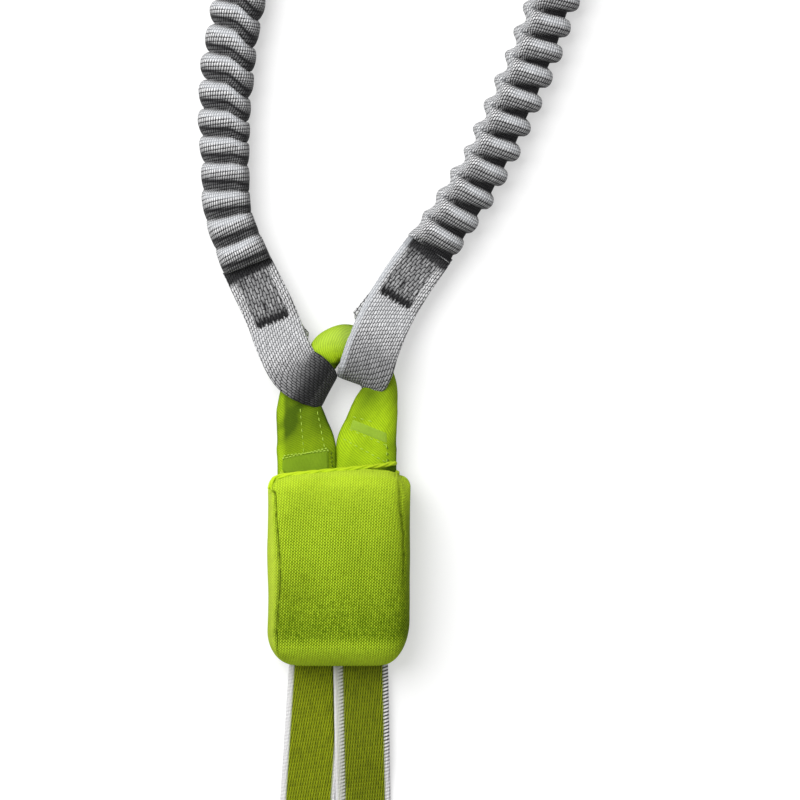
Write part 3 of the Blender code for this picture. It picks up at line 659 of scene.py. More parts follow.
def ruched_sleeve(name, route, wide_side, creases, widths, seed, swing):
    """Flat tubular webbing pleated over its elastic core. Deep grooves open towards wide_side (-1 left, 1
    right) and run out at the crease; the pleats of the other side lie half a pitch further on, and with swing
    each pleat runs on into them. creases holds (distance, where the crease lies across the width), and widths
    (distance, outer half width, how deep the outline is cut)."""
    dense = smooth_route(route, fine_step)
    along = directions(dense)
    total = route_length(dense)
    ridges = round(total / ridge_pitch)
    last_row = ridges * ridge_steps
    angles = [2 * pi * side / sleeve_sides for side in range(sleeve_sides + 1)]
    ring = [squared(angle, *sleeve_powers) for angle in angles]
    around = running_lengths([Vector((sleeve_weave_half.x * x, sleeve_weave_half.y * z)) for x, z in ring])
    droop = 0.0 if swing else weave_droop
    rows, uvs, tint, travelled = [], [], [], 0.0
    earlier = None
    for row in range(last_row + 1):
        share = row / last_row
        spot = share * (len(dense) - 1)
        centre = between(dense, spot)
        side_way = between(along, spot).normalized().cross(UP).normalized()
        distance = share * total
        crease = level(creases, distance)
        half_width, cut_depth = (level_of(widths, column, distance) for column in (1, 2))
        swell = 1 + 0.05 * rough(distance * 70, seed, 9)
        turn = share * ridges + 0.07 * rough(distance * 140, seed, 0)
        closing = smooth_step(total, total - closing_length, distance)
        points, paint = [], []
        for angle, (x, z) in zip(angles[:-1], ring):
            wide = x * wide_side
            thin = smooth_step(crease + 0.12, -1.0, wide)
            from_crease = min(1, max(0, (wide - crease) / (1 - crease)))
            curl = swing * smooth_step(crease + 0.45, -1.0, wide) * smooth_step(-0.85, -0.45, crease)
            bent = turn + 0.035 * sin(2.2 * wide + seed) + curl
            part = bent - floor(bent)
            lit = smooth_step(0.62, 0.74, part) * smooth_step(0.96, 0.90, part)
            if swing:
                gap, dip, dark, pale = swung_pleat(part, from_crease, thin, lit)
            else:
                gap, dip, dark, pale = fingered_pleat(part, from_crease, wide - crease, distance, lit)
            wrinkle = 0.00016 * rough(x * 6, turn * 2.3 + seed, z * 6)
            wide_reach = half_width * swell - cut_depth * gap * (1 - 0.15 * thin) + wrinkle
            high_reach = (sleeve_half_height * (0.88 + 0.12 * closing) - pleat_depth * dip * (1 - 0.30 * thin)
                          + wrinkle)
            place = centre + side_way * (wide_reach * x) + UP * (high_reach * z - sleeve_sink)
            place.z = max(place.z, lowest_thread)
            points.append(place)
            # Painted shade of the pleats, and painted highlight on the lit band of the upper side only
            paint.append((min(0.97, dark), pale * max(0.0, sin(angle))))
        rows.append(points)
        tint.append(paint)
        crest = points[sleeve_sides // 4]
        if earlier:
            travelled += (crest - earlier).length
        earlier = crest
        uvs.append([(reach, travelled + droop * smooth_step(-0.2, -1.0, wide_side * cos(angle)))
                    for angle, reach in zip(angles, around)])
    return grid_piece(name, rows, uvs, tint=tint)


def cord_knots(place, forward, route):
    """The sleeve's line as the part has it."""
    knots = [place, place + forward * 0.005] + [Vector(point) for point in route]
    return smooth_route([Vector((*point, sleeve_z)) for point in knots], knot_spacing)


# Folded and sewn eyes

# Both layers lie together from meet to end; panel is where the sewn panel starts and ends.
lower_size = {"hole": 0.0071, "thickness": 0.0020, "meet": 0.0290, "end": 0.0540, "panel": (0.0262, 0.0500)}
upper_size = {"hole": 0.0058, "thickness": 0.0016, "meet": 0.0260, "end": 0.0560, "panel": (0.0372, 0.0525)}
layer_gap = 0.0003
upper_sag = 0.0012
fold_steps = 36
sleeve_start = 0.0520 + layer_gap
sleeve_tuck = 0.0022
eye_weave_half = 0.0104
panel_half_share = 0.70
panel_teeth = 13


def plan_line(wrap, heading, plan):
    """Route of an eye seen from above, from the middle of the strand outwards."""
    dense = smooth_route([wrap, wrap + heading * lower_size["hole"]] + [Vector(point) for point in plan], fine_step)
    ways = directions(dense)
    ways[0] = heading
    return dense, ways


def along_plan(line, distance):
    """Place and direction at a distance along an eye's route; it runs straight on past both ends."""
    dense, ways = line
    step = route_length(dense) / (len(dense) - 1)
    if distance <= 0:
        return dense[0] + ways[0] * distance, ways[0]
    spot = distance / step
    if int(spot) >= len(dense) - 1:
        return dense[-1] + ways[-1] * (distance - step * (len(dense) - 1)), ways[-1]
    return between(dense, spot), between(ways, spot).normalized()


def eye_profile(size, spacing):
    """Side view of a folded strap: (distance from the strand, height) from the upper end round the fold."""
    meet, end = size["meet"], size["end"]
    radius = size["hole"] + size["thickness"] / 2
    lap = (size["thickness"] + layer_gap) / 2
    leave = atan2(lap, meet) + atan2(sqrt(meet ** 2 + lap ** 2 - radius ** 2), radius)
    touch = (radius * cos(leave), radius * sin(leave))
    steps = round((end - meet) / spacing)
    upper = [(end + (meet - end) * step / steps, lap) for step in range(steps)]
    steps = round((meet - touch[0]) / spacing)
    for step in range(steps):
        share = step / steps
        sag = upper_sag * sin(pi * share)
        upper.append((meet + (touch[0] - meet) * share, lap + (touch[1] - lap) * share - sag))
    arc = []
    for step in range(fold_steps + 1):
        turn = leave + (2 * pi - 2 * leave) * step / fold_steps
        arc.append((radius * cos(turn), radius * sin(turn)))
    return upper, arc, [(s, -z) for s, z in reversed(upper)]


def folded_eye(name, line, height, size, halves, under, skew, relief_at):
    """A strap folded round the strand. halves holds (distance, left half, right half) of its width, and under
    what the lower layer adds to them. skew holds (share, distance) pairs that slant the fold. relief_at gives
    the lift and the dark, pale and coarse paint at a distance and a share of the width: painted shade, painted
    highlight and real pale edges, and where long threads lie."""
    thickness = size["thickness"]
    upper, arc, lower = eye_profile(size, fine_step)
    profile = upper + arc + lower
    columns = shares(48)
    across = [share * eye_weave_half for share in columns]
    rows, uvs, tint, travelled = [], [], [], 0.0
    earlier_middle = None
    for index, (s, z) in enumerate(profile):
        earlier = profile[max(index - 1, 0)]
        later = profile[min(index + 1, len(profile) - 1)]
        place, forward = along_plan(line, s)
        forward = forward.to_3d()
        run = (forward * (later[0] - earlier[0]) + UP * (later[1] - earlier[1])).normalized()
        side_way = forward.cross(UP)
        out = run.cross(side_way)
        middle = Vector((*place, height + z))
        if earlier_middle:
            travelled += (middle - earlier_middle).length
        earlier_middle = middle
        left_half, right_half = (level_of(halves, column, s) for column in (1, 2))
        if index > len(upper) + len(arc) // 2:
            left_half += level_of(under, 1, s)
            right_half += level_of(under, 2, s)
        round_end = min(1.0, max(0.0, -s / (size["hole"] + thickness)))
        top = index < len(upper) + len(arc) // 4
        outside, inside, paint = [], [], []
        for share in columns:
            edge = max(0.0, 1 - abs(share) ** 14) ** 0.5
            lift, *shade_and_stain = relief_at(s, share, top)
            half = thickness / 2 * (0.25 + 0.75 * edge)
            offset = share * (right_half if share > 0 else left_half)
            slant = forward * (level(skew, share) * round_end)
            side_point = middle + side_way * offset + slant
            outside.append(side_point + out * (half + lift))
            inside.append(side_point - out * half)
            paint.append(shade_and_stain)
        rows.append(outside + inside[::-1])
        tint.append(paint + [(0.0, 0.0, 0.0)] * len(columns))
        uvs.append(strap_uvs(across, travelled))
    return grid_piece(name, rows, uvs, tint=tint)


def eye_relief(panel, fold_shade=0.0, selvedge=None):
    """The sewn panel of long threads between two recessed gaps filled with painted shade. The lower gap ends in
    teeth; selvedge is the share where a smooth pale edge lies, if there is one. fold_shade is the painted shade
    towards the fold, and a painted highlight lies on the raised lap before the panel."""
    panel_start, panel_end = panel

    def relief(s, share, top):
        pale = 0.65 * smooth_step(selvedge + 0.02, selvedge - 0.02, share) if selvedge else 0.0
        # Painted shade darkening the strap towards the fold
        shade = fold_shade * smooth_step(0.0165, -0.003, s)
        if not top:
            return 0.0, min(0.9, shade), pale * 0.6, 0.0
        tooth = abs(((share * panel_teeth / 2) % 1.0) * 2 - 1)
        ragged = 0.0013 * tooth + 0.0005 * rough(share * 5, 3, 1)
        inside = smooth_step(panel_half_share, panel_half_share - 0.07, abs(share))
        low = panel_start + ragged
        first = smooth_step(low - 0.0001, low + 0.0004, s) * smooth_step(low + 0.0052, low + 0.0026, s) * inside
        high = panel_end + 0.0004 * rough(share * 9, 5, 2)
        second = smooth_step(high - 0.0036, high - 0.0008, s)
        in_panel = smooth_step(low, low + 0.001, s) * smooth_step(panel_end, panel_end - 0.001, s) * inside
        strand = rough(share * 24, s * 160, 4)
        lift = -0.0010 * max(first, second) + (-0.0004 + 0.00022 * strand) * in_panel
        lift += 0.00035 * smooth_step(low, low - 0.0010, s) * smooth_step(0.017, 0.024, s) * inside
        # Painted shade in the two recessed gaps, and the panel darker and uneven from strand to strand
        dark = max(0.98 * first, 0.95 * second, (0.58 - 0.80 * strand) * in_panel)
        # Painted highlight on the raised lap before the panel
        bright = 0.16 * smooth_step(0.012, 0.019, s) * smooth_step(low + 0.0001, low - 0.0012, s)
        return lift, min(0.97, max(dark, shade)), max(pale, bright), in_panel
    return relief


# Arms

def dress_arm(side, route, eye, sleeve):
    """One arm: its folded eye round the strand and its ruched sleeve up to the carabiner end. The eye follows
    the photograph's slant; the cord starts where the part's own eye ends."""
    part_line = plan_line(*part_eyes[side])
    start, forward = along_plan(part_line, sleeve_start)
    path = cord_knots(start, forward, route)
    tucked = [path[0] - forward.to_3d() * sleeve_tuck] + path[1:]
    cloth = ruched_sleeve(side + "_ruched_sleeve", tucked, **sleeve)
    dress(cloth, ruched_grey, "grey_sleeve", None, side + "_sleeve")
    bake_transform(cloth)
    cord = {"exit": tuple(path[0]), "length": route_length(path), "diameter": 0.020, "far_end": "connector",
            "stiffness": "limp", "lay": "loose", "path": [tuple(point) for point in path],
            "with_pieces": []}
    relief = eye_relief(lower_size["panel"], eye["fold_shade"], eye["selvedge"])
    folded = folded_eye(side + "_folded_eye", plan_line(*eye["line"]), strand_z, lower_size, eye["halves"],
                        eye["under"], eye["skew"], relief)
    dress(folded, eye_grey, "grey_webbing", side + "_arm", side + "_lower_eye")
    return cloth, cord


set_camera()
set_lamps()
set_world()
set_floor()
bpy.context.scene.view_settings.view_transform = "Standard"

left_sleeve, left_cord = dress_arm("left", left_route, {
    "line": (Vector((-0.0120, 0.0756)), Vector((-0.80, 0.60)).normalized(),
             [(-0.0228, 0.0895), (-0.0262, 0.0985), (-0.0312, 0.1095), (-0.0390, 0.1250)]),
    "halves": [(-0.0091, 0.0056, 0.0074), (-0.0070, 0.0078, 0.0089), (-0.0032, 0.0097, 0.0100),
               (0.0005, 0.0105, 0.0104), (0.0200, 0.0104, 0.0104), (0.0560, 0.0100, 0.0100)],
    "under": [(-0.0088, 0, 0), (-0.0040, -0.0030, -0.0030), (0.0110, -0.0030, -0.0030),
              (0.0178, -0.0010, 0.0012), (0.0230, 0, 0)],
    "skew": [(-1, -0.0021), (1, 0.0005)], "fold_shade": 0.96, "selvedge": None}, {
    "wide_side": -1, "swing": 0.56, "seed": 1.7,
    "creases": [(0.0, -0.80), (0.045, -0.70), (0.075, -0.40), (0.10, -0.34), (0.5, -0.34)],
    "widths": [(0.0, 0.0100, 0.0008), (0.020, 0.0096, 0.0009), (0.045, 0.0100, 0.0022),
               (0.075, 0.0108, 0.0038), (0.43, 0.0108, 0.0038), (0.466, 0.0088, 0.0010)]})
right_sleeve, right_cord = dress_arm("right", right_route, {
    "line": (Vector((0.0117, 0.0817)), Vector((0.30, 0.954)).normalized(),
             [(0.0190, 0.1005), (0.0262, 0.1130), (0.0360, 0.1270)]),
    "halves": [(-0.0091, 0.0098, 0.0062), (-0.0075, 0.0106, 0.0084), (-0.0053, 0.0108, 0.0099),
               (-0.0017, 0.0108, 0.0108), (0.0200, 0.0104, 0.0104), (0.0560, 0.0100, 0.0100)],
    "under": [(-0.0088, 0, 0), (-0.0040, -0.0030, -0.0030), (0.0100, -0.0030, -0.0030),
              (0.0165, 0.0024, -0.0010), (0.0215, 0.0010, 0), (0.0260, 0, 0)],
    "skew": [(-1, 0.0001), (-0.05, -0.0003), (0.06, -0.0012), (0.28, -0.0026), (0.6, -0.0036), (1, -0.0034)],
    "fold_shade": 0.56, "selvedge": -0.79}, {
    "wide_side": 1, "swing": 0.0, "seed": 8.3,
    "creases": [(0.0, -0.78), (0.02, -0.66), (0.5, -0.62)],
    "widths": [(0.0, 0.0102, 0.0010), (0.018, 0.0104, 0.0024), (0.050, 0.0108, 0.0036),
               (0.44, 0.0108, 0.0038), (0.482, 0.0088, 0.0010)]})


# Link loop

def link_loop_stations():
    """Along the loop: x, y, z, half width and half height, from the left leg round to the right leg."""
    left_along = Vector((left_heading.y, -left_heading.x))
    rounded = (strand_z, 0.0063, 0.0058)
    stations = [
        (-0.0128, 0.0200, 0.0095, 0.0118, 0.0036),
        (-0.0128, 0.0420, 0.0095, 0.0118, 0.0038),
        (-0.0132, 0.0494, 0.0097, 0.0118, 0.0040),
        (-0.0147, 0.0570, 0.0100, 0.0103, 0.0046),
        (-0.0161, 0.0644, 0.0100, 0.0088, 0.0052),
        (*(left_wrap - left_along * 0.0065), *rounded),
        (*left_wrap, *rounded),
        (*(left_wrap + left_along * 0.0065), strand_z, 0.0066, 0.0062),
        (-0.0034, 0.0880, 0.0100, 0.0070, 0.0066),
        (0.0036, 0.0898, strand_z, 0.0074, 0.0064),
        (*right_wrap, *rounded),
        (0.0135, 0.0815, strand_z, 0.0062, 0.0058),
        (0.0162, 0.0730, 0.0100, 0.0068, 0.0056),
        (0.0147, 0.0644, 0.0100, 0.0091, 0.0052),
        (0.0130, 0.0570, 0.0100, 0.0104, 0.0046),
        (0.0111, 0.0494, 0.0098, 0.0120, 0.0040),
        (0.0109, 0.0420, 0.0096, 0.0121, 0.0038),
        (0.0109, 0.0200, 0.0095, 0.0121, 0.0036),
    ]
    return smooth_route(stations, fine_step)


def near_line(place, start, end, width):
    """1 on the line from start to end seen from above, fading out over width."""
    start, end = Vector(start), Vector(end)
    along = end - start
    share = min(1.0, max(0.0, (place.xy - start).dot(along) / along.length_squared))
    return exp(-((place.xy - start - along * share).length / width) ** 2)


def build_loop_sleeve():
    """The green twill sleeve of the link loop, flat at the legs and round where the arms hang on it, with painted
    shade under the eyes, on the legs and inside the pouch's mouth and a painted highlight on the crown.
    """
    stations = link_loop_stations()
    centres = [Vector(station[:3]) for station in stations]
    sides = 72
    loop_powers = (0.75, 0.85)
    rows, uvs, tint = [], [], []
    for station, centre, along, travelled in zip(stations, centres, directions(centres),
                                                 running_lengths(centres)):
        side_way = along.cross(UP).normalized()
        points, paint = [], []
        reach = min((centre.xy - left_wrap).length, (centre.xy - right_wrap).length)
        # Painted shadow of the eyes near the wraps and below the right eye
        below_eye = 0.52 * smooth_step(0.060, 0.073, centre.y) * smooth_step(0.006, 0.010, centre.x)
        wrap_shade = max(0.55 * smooth_step(0.0105, 0.0070, reach), below_eye)
        # Painted shade over the left leg, deeper higher up
        on_left_leg = (smooth_step(0.0, -0.004, centre.x) * smooth_step(0.078, 0.068, centre.y)
                       * (0.54 + 0.34 * smooth_step(0.048, 0.060, centre.y)))
        for side in range(sides):
            turn = 2 * pi * side / sides
            x, z = squared(turn, *loop_powers)
            soft = 0.00035 * rough(cos(turn) * 1.6, travelled * 120, sin(turn) * 1.6)
            fold = 0.00022 * sin(travelled * 1400 + 3 * cos(turn)) * smooth_step(0.0072, 0.0060, station[3])
            place = centre + side_way * (x * (station[3] + soft)) + UP * (z * (station[4] + soft + fold))
            # Painted shade along the sides of the flat legs
            edge = smooth_step(0.86, 1.0, abs(cos(turn)) if station[3] > 0.009 else 0.0)
            # Painted shade on the left leg, uneven, less at its far left, and in two of its creases
            left_leg = on_left_leg * (0.86 + 0.25 * rough(place.x * 110, place.y * 80, 2))
            left_leg *= 1 - 0.62 * smooth_step(-0.0208, -0.0226, place.x)
            left_leg += max(0.34 * near_line(place, (-0.0157, 0.0644), (-0.0226, 0.0566), 0.0018),
                            0.26 * near_line(place, (-0.0176, 0.0590), (-0.0226, 0.0506), 0.0017))
            mouth = 0.0394 + (place.x - 0.0012) * 0.105
            # Painted shade under the crown, on the right leg's lower right edge and below the right eye
            near_wrap = max(wrap_shade, 0.95 * near_line(place, (-0.0028, 0.0812), (-0.0012, 0.0812), 0.0010))
            near_wrap += 0.45 * smooth_step(0.0165, 0.0215, place.x) * smooth_step(0.058, 0.048, place.y)
            near_wrap += 0.36 * near_line(place, (0.0070, 0.0596), (0.0118, 0.0690), 0.0042)
            # Painted shade on the legs inside the pouch's mouth
            inside = 0.62 * smooth_step(mouth + 0.0002, mouth - 0.0010, place.y) * smooth_step(0.0, 0.010, centre.x)
            points.append(place)
            # Painted highlight on the upper side of the crown
            crown = 0.30 * smooth_step(0.083, 0.093, place.y) * max(0.0, z)
            paint.append((min(0.9, 0.30 * edge + left_leg + near_wrap + inside), crown))
        rows.append(points)
        tint.append(paint)
        around = running_lengths(points + points[:1])
        uvs.append([(reach - around[sides // 4], travelled) for reach in around])
    return grid_piece("link_loop_twill", rows, uvs, tint=tint)


# Stitches and patches laid on a surface

cast_height = 0.2
stitch_step = 0.0006
patch_rest_z = 0.008


def surface_of(piece):
    return BVHTree.FromPolygons([vertex.co for vertex in piece.data.vertices],
                                [polygon.vertices for polygon in piece.data.polygons])


def from_above(surface, point):
    """Where a surface is met straight under a plan point, or None."""
    return surface.ray_cast(Vector((point[0], point[1], cast_height)), -UP)[0]


def laid(surface, route, lift):
    """Points of a plan route, dropped from above on to a surface and lifted off it a little."""
    hits = [from_above(surface, point) for point in route]
    return [hit + UP * lift for hit in hits if hit]


def make_stitch_tree(look):
    """Geometry nodes: short rounded threads along lines, one for each stitch."""
    tree = bpy.data.node_groups.new("stitches " + look.name, "GeometryNodeTree")
    tree.interface.new_socket(name="Geometry", in_out="INPUT", socket_type="NodeSocketGeometry")
    sizes = float_inputs(tree, [("Pitch", 0.0024), ("Length", 0.0017), ("Radius", 0.00025)])
    tree.interface.new_socket(name="Geometry", in_out="OUTPUT", socket_type="NodeSocketGeometry")
    w = Wiring(tree)
    given = w.add("NodeGroupInput").outputs
    curve = w.add("GeometryNodeMeshToCurve", {"Mesh": given["Geometry"]}).outputs["Curve"]
    points = w.add("GeometryNodeCurveToPoints", {"Curve": curve, "Length": given["Pitch"]}, mode="LENGTH").outputs
    ball = w.add("GeometryNodeMeshUVSphere", {"Segments": 8, "Rings": 6, "Radius": 1.0}).outputs["Mesh"]
    scale = w.add("ShaderNodeCombineXYZ", {0: given["Radius"], 1: given["Radius"],
                                           2: w.math("MULTIPLY", given["Length"], 0.5)}).outputs[0]
    turn = w.add("FunctionNodeAlignRotationToVector", {"Vector": points["Tangent"]}, axis="Z").outputs["Rotation"]
    made = w.add("GeometryNodeInstanceOnPoints", {"Points": points["Points"], "Instance": ball,
                                                  "Rotation": turn, "Scale": scale}).outputs[0]
    made = w.add("GeometryNodeRealizeInstances", {0: made}).outputs[0]
    made = w.add("GeometryNodeSetShadeSmooth", {"Geometry": made}).outputs[0]
    made = w.add("GeometryNodeSetMaterial", {"Geometry": made, "Material": look}).outputs[0]
    w.add("NodeGroupOutput", {0: made})
    return tree, sizes


stitch_trees = {}


def stitch_rows(name, lines, look, slot, body, pitch, length, radius):
    """Threads along several lines of points, as one plain mesh."""
    if look.name not in stitch_trees:
        stitch_trees[look.name] = make_stitch_tree(look)
    tree, sizes = stitch_trees[look.name]
    mesh = bpy.data.meshes.new(name)
    points, edges = [], []
    for line in lines:
        edges += [(len(points) + index, len(points) + index + 1) for index in range(len(line) - 1)]
        points += [tuple(point) for point in line]
    mesh.from_pydata(points, edges, [])
    lines_object = link_new(name, mesh)
    spread = lines_object.modifiers.new("stitches", "NODES")
    spread.node_group = tree
    for label, value in (("Pitch", pitch), ("Length", length), ("Radius", radius)):
        spread[sizes[label]] = value
    graph = bpy.context.evaluated_depsgraph_get()
    made = bpy.data.meshes.new_from_object(lines_object.evaluated_get(graph))
    lines_object.modifiers.remove(spread)
    lines_object.data = made
    made.name = name
    bpy.data.meshes.remove(mesh)
    return dress(lines_object, look, slot, body)


def pixel_rows(surface, lines, lift):
    """Stitch lines over a surface, each from one pixel straight to another."""
    found = []
    for start, end in lines:
        start, end = at_pixel(*start), at_pixel(*end)
        steps = max(2, round((end - start).length / stitch_step))
        found.append(laid(surface, [start.lerp(end, step / steps) for step in range(steps + 1)], lift))
    return found


def laid_patch(name, surface, pixels, lift, look, slot, body, columns=40, rows=16):
    """A thin patch over a surface, through four pixels: low left, low right, high right, high left."""
    low_left, low_right, high_right, high_left = [at_pixel(*pixel) for pixel in pixels]
    points, uvs = [], []
    for row in range(rows + 1):
        up = row / rows
        line, place = [], []
        for column in range(columns + 1):
            across = column / columns
            spot = low_left.lerp(low_right, across).lerp(high_left.lerp(high_right, across), up)
            hit = from_above(surface, spot) or Vector((spot.x, spot.y, patch_rest_z))
            border = row in (0, rows) or column in (0, columns)
            line.append(hit + UP * (0.0 if border else lift))
            place.append((spot.x, spot.y))
        points.append(line)
        uvs.append(place + [place[-1]])
    piece = grid_piece(name, points, uvs, around=False)
    if sum(polygon.normal.z for polygon in piece.data.polygons) < 0:
        piece.data.flip_normals()
    return dress(piece, look, slot, body)


# Pouch

pouch_low_y = -0.0390
mouth_y = 0.0385
pouch_floor_z = 0.0018
pouch_top_z = 0.0318
side_half = 0.0284
seam_from_side = 0.0014
mouth_round = 0.0048
mouth_round_y = 0.0370
# Width and length of the rounded lower corners
low_left_round = (0.0108, 0.0140)
low_right_round = (0.0112, 0.0190)
left_seam = [(-0.0390, -0.0225), (-0.0360, -0.0236), (-0.0322, -0.0247), (-0.0250, -0.0248), (-0.0162, -0.0243),
             (-0.0090, -0.0236), (0.0030, -0.0234), (0.0134, -0.0241), (0.0230, -0.0248), (0.0300, -0.0250),
             (0.0322, -0.0254), (0.0336, -0.0263), (0.0345, -0.0275), (0.0390, -0.0275)]
right_seam = [(-0.0390, 0.0215), (-0.0300, 0.0246), (-0.0130, 0.0258), (0.0030, 0.0263), (0.0150, 0.0260),
              (0.0254, 0.0249), (0.0358, 0.0241), (0.0400, 0.0238)]
top_edge = [(-0.0284, 0.0340), (-0.0262, 0.0358), (-0.0244, 0.0374), (-0.0120, 0.0386), (0.0012, 0.0396),
            (0.0116, 0.0393), (0.0200, 0.0386), (0.0240, 0.0376), (0.0262, 0.0350), (0.0284, 0.0335)]


def round_off(distance, reach):
    """How far a quarter round has still to rise: 1 at its start, 0 from reach onwards."""
    return 1 - sqrt(max(0.0, 1 - max(0.0, 1 - distance / reach) ** 2))


def pouch_section(t):
    """The pouch at a share t of its length: y, the control points of its section from the left foot over the
    front to the right foot, and the height of the front."""
    y = pouch_low_y + (mouth_y - pouch_low_y) * t
    from_low = max(0.0, y - pouch_low_y)
    top_pull = mouth_round * round_off(max(0.0, mouth_round_y - y), mouth_round)
    left = side_half - low_left_round[0] * round_off(from_low, low_left_round[1]) - top_pull
    right = side_half - low_right_round[0] * round_off(from_low, low_right_round[1]) - top_pull * 0.9
    bulge = 1 - 0.13 * ((y - 0.0120) / 0.0390) ** 2
    crown = ((pouch_top_z - pouch_floor_z) * (1 - 0.52 * round_off(from_low, 0.0085))
             * (1 - 0.24 * round_off(mouth_y - y, 0.0080)) * bulge)
    seam_l = max(level(left_seam, y), seam_from_side - left)
    seam_r = min(level(right_seam, y), right - seam_from_side)
    control = [(-left * 0.975, 0.0), (-left * 0.995, crown * 0.16), (-left, crown * 0.40),
               (-left * 0.992, crown * 0.62), (-left * 0.955, crown * 0.81), (seam_l, crown * 0.925),
               (seam_l * 0.80, crown * 0.972), (seam_l * 0.45, crown * 0.995), (0.0, crown),
               (seam_r * 0.50, crown * 0.990), (seam_r * 0.80, crown * 0.955), (seam_r, crown * 0.875),
               (right * 0.975, crown * 0.74), (right, crown * 0.50), (right, crown * 0.30),
               (right * 0.99, crown * 0.12), (right * 0.975, 0.0)]
    return y, control, crown


# The pouch's section: points in each stretch between its control points, which of these the seams and the
# crown are, and how many points lie underneath
section_counts = [8, 10, 10, 10, 14, 12, 16, 18, 18, 16, 12, 12, 10, 8, 8, 8]
left_spot, crown_spot, right_spot = 5, 8, 11
under_points = 40
under_width = 0.055
pouch_rows = 168
low_rows = 5
lip_rows = 30
turned_rows = 5
lip_wall = 0.0016
lip_depth = 0.022
lip_bulge = 0.0005
mouth_middle_z = 0.0150
weave_per_lip_row = 0.0007


def pouch_painted_light(t, y, spot, slack, seam, face):
    """Painted shade and painted highlight: shade in the seams' creases, uneven along them, shade to the right, low
    left and in hollows, and highlight on the lip and the left side panel."""
    # How strong the painted shade in the seams' creases is, uneven along them
    thread = max(0.0, min(1.15, 0.70 + 0.9 * rough(y * 420, 0, 7)))
    # Painted shade on the right side and low on the left
    shaded = 0.25 * smooth_step(10.2, 11.4, spot) + 0.14 * smooth_step(8.5, 10.5, spot)
    shaded = shaded * smooth_step(0.036, 0.018, y) * smooth_step(-0.040, -0.022, y)
    shaded += (0.13 * smooth_step(8.0, 6.2, spot) * smooth_step(0.0, -0.012, y)
               * smooth_step(-0.035, -0.027, y) * smooth_step(5.0, 5.3, spot))
    # Painted shade in the seams and in the hollows of the cloth
    dark = thread * seam ** 1.5 + shaded + 0.12 * smooth_step(0.3, -0.6, slack)
    # Painted highlight on the lip and on the left side panel
    lip = smooth_step(0.955, 0.985, t) * face
    return min(0.97, dark), 0.22 * lip + 0.54 * smooth_step(5.1, 4.4, spot)


def pouch_row(row):
    """One row of the pouch's front: its points, the girth at each, the girth at the crown, the crown as (y, z)
    and the painted shade and highlight. Rows below 0 close the rounded bottom."""
    t = max(0, row) / pouch_rows
    y, control, height = pouch_section(t)
    below = max(0, -row) / low_rows
    points, girths, paint, girth, crown_girth, earlier = [], [], [], 0.0, 0.0, None
    for (x, z), spot in spline_points(control, section_counts):
        face = smooth_step(0.45, 0.8, z / height)
        stretch = y + (level(top_edge, x) - mouth_y) * smooth_step(0.55, 1.0, t) * face
        away = min(abs(spot - left_spot), abs(spot - right_spot))
        near_left = abs(spot - left_spot) < abs(spot - right_spot)
        seam = exp(-(away / (0.14 if near_left else 0.20)) ** 2) * (1.0 if near_left else 0.6)
        seam *= smooth_step(0.02, 0.10, t) * (1.0 if near_left else smooth_step(-0.018, 0.004, y))
        pucker = rough(y * 260, spot * 0.7, 3) * exp(-(away / 0.9) ** 2)
        slack = rough(x * 60, y * 60, z * 60 + 5)
        push = 0.00045 * slack + 0.00035 * pucker - 0.0010 * seam
        out = Vector((x * 0.6, (z - height * 0.45) * 1.2)).normalized()
        body = Vector((x + out.x * push, stretch, z + out.y * push))
        if below:
            body.x *= 1 - 0.05 * below ** 2
            body.z = height * 0.42 + (body.z - height * 0.42) * (1 - 0.75 * below ** 2)
            body.y -= 0.0004 * (1 - (below - 1) ** 2)
        points.append(Vector((body.x, body.y, pouch_floor_z + max(0.0, body.z))))
        here = Vector((body.x, body.z))
        girth += (here - earlier).length if earlier else 0.0
        earlier = here
        girths.append(girth)
        if spot == crown_spot:
            crown_girth = girth
        paint.append(pouch_painted_light(t, y, spot, slack, seam, face))
    return points, girths, crown_girth, Vector((y, height)), paint


def build_pouch_cloth():
    """The soft front of the pouch, with its side panels, sewn edges and open mouth."""
    rows, uvs, tint = [], [], []
    along, earlier_crown = 0.0, None
    for row in range(-low_rows, pouch_rows + 1):
        points, girths, crown_girth, crown, paint = pouch_row(row)
        along += (crown - earlier_crown).length if earlier_crown else 0.0
        earlier_crown = crown
        foot_left, foot_right, girth = points[0], points[-1], girths[-1]
        for step in range(1, under_points):
            share = step / under_points
            points.append(foot_right.lerp(foot_left, share))
            girths.append(girth + under_width * share)
            paint.append((0.0, 0.0))
        girths.append(girth + under_width)
        rows.append(points)
        uvs.append([(across - crown_girth, along) for across in girths])
        tint.append(paint)
    rim = rows[-1]
    for row in range(1, lip_rows + 1):
        depth = row / lip_rows
        turn_in = min(1.0, row / turned_rows)
        sink = Vector((0, lip_bulge * sin(turn_in * pi) - lip_depth * max(0.0, depth - 0.12), 0))
        points = []
        for index, point in enumerate(rim):
            underneath = index > len(rim) - under_points
            inward = UP if underneath else Vector((0, point.y, mouth_middle_z)) - point
            points.append(point + inward.normalized() * lip_wall * sin(turn_in * pi / 2) + sink)
        rows.append(points)
        uvs.append([(across, up + weave_per_lip_row) for across, up in uvs[-1]])
        # Painted shade, deeper inside the mouth
        tint.append([(0.55 * smooth_step(0.1, 0.4, depth), 0.0)] * len(rim))
    return grid_piece("pouch_front_cloth", rows, uvs, tint=tint)


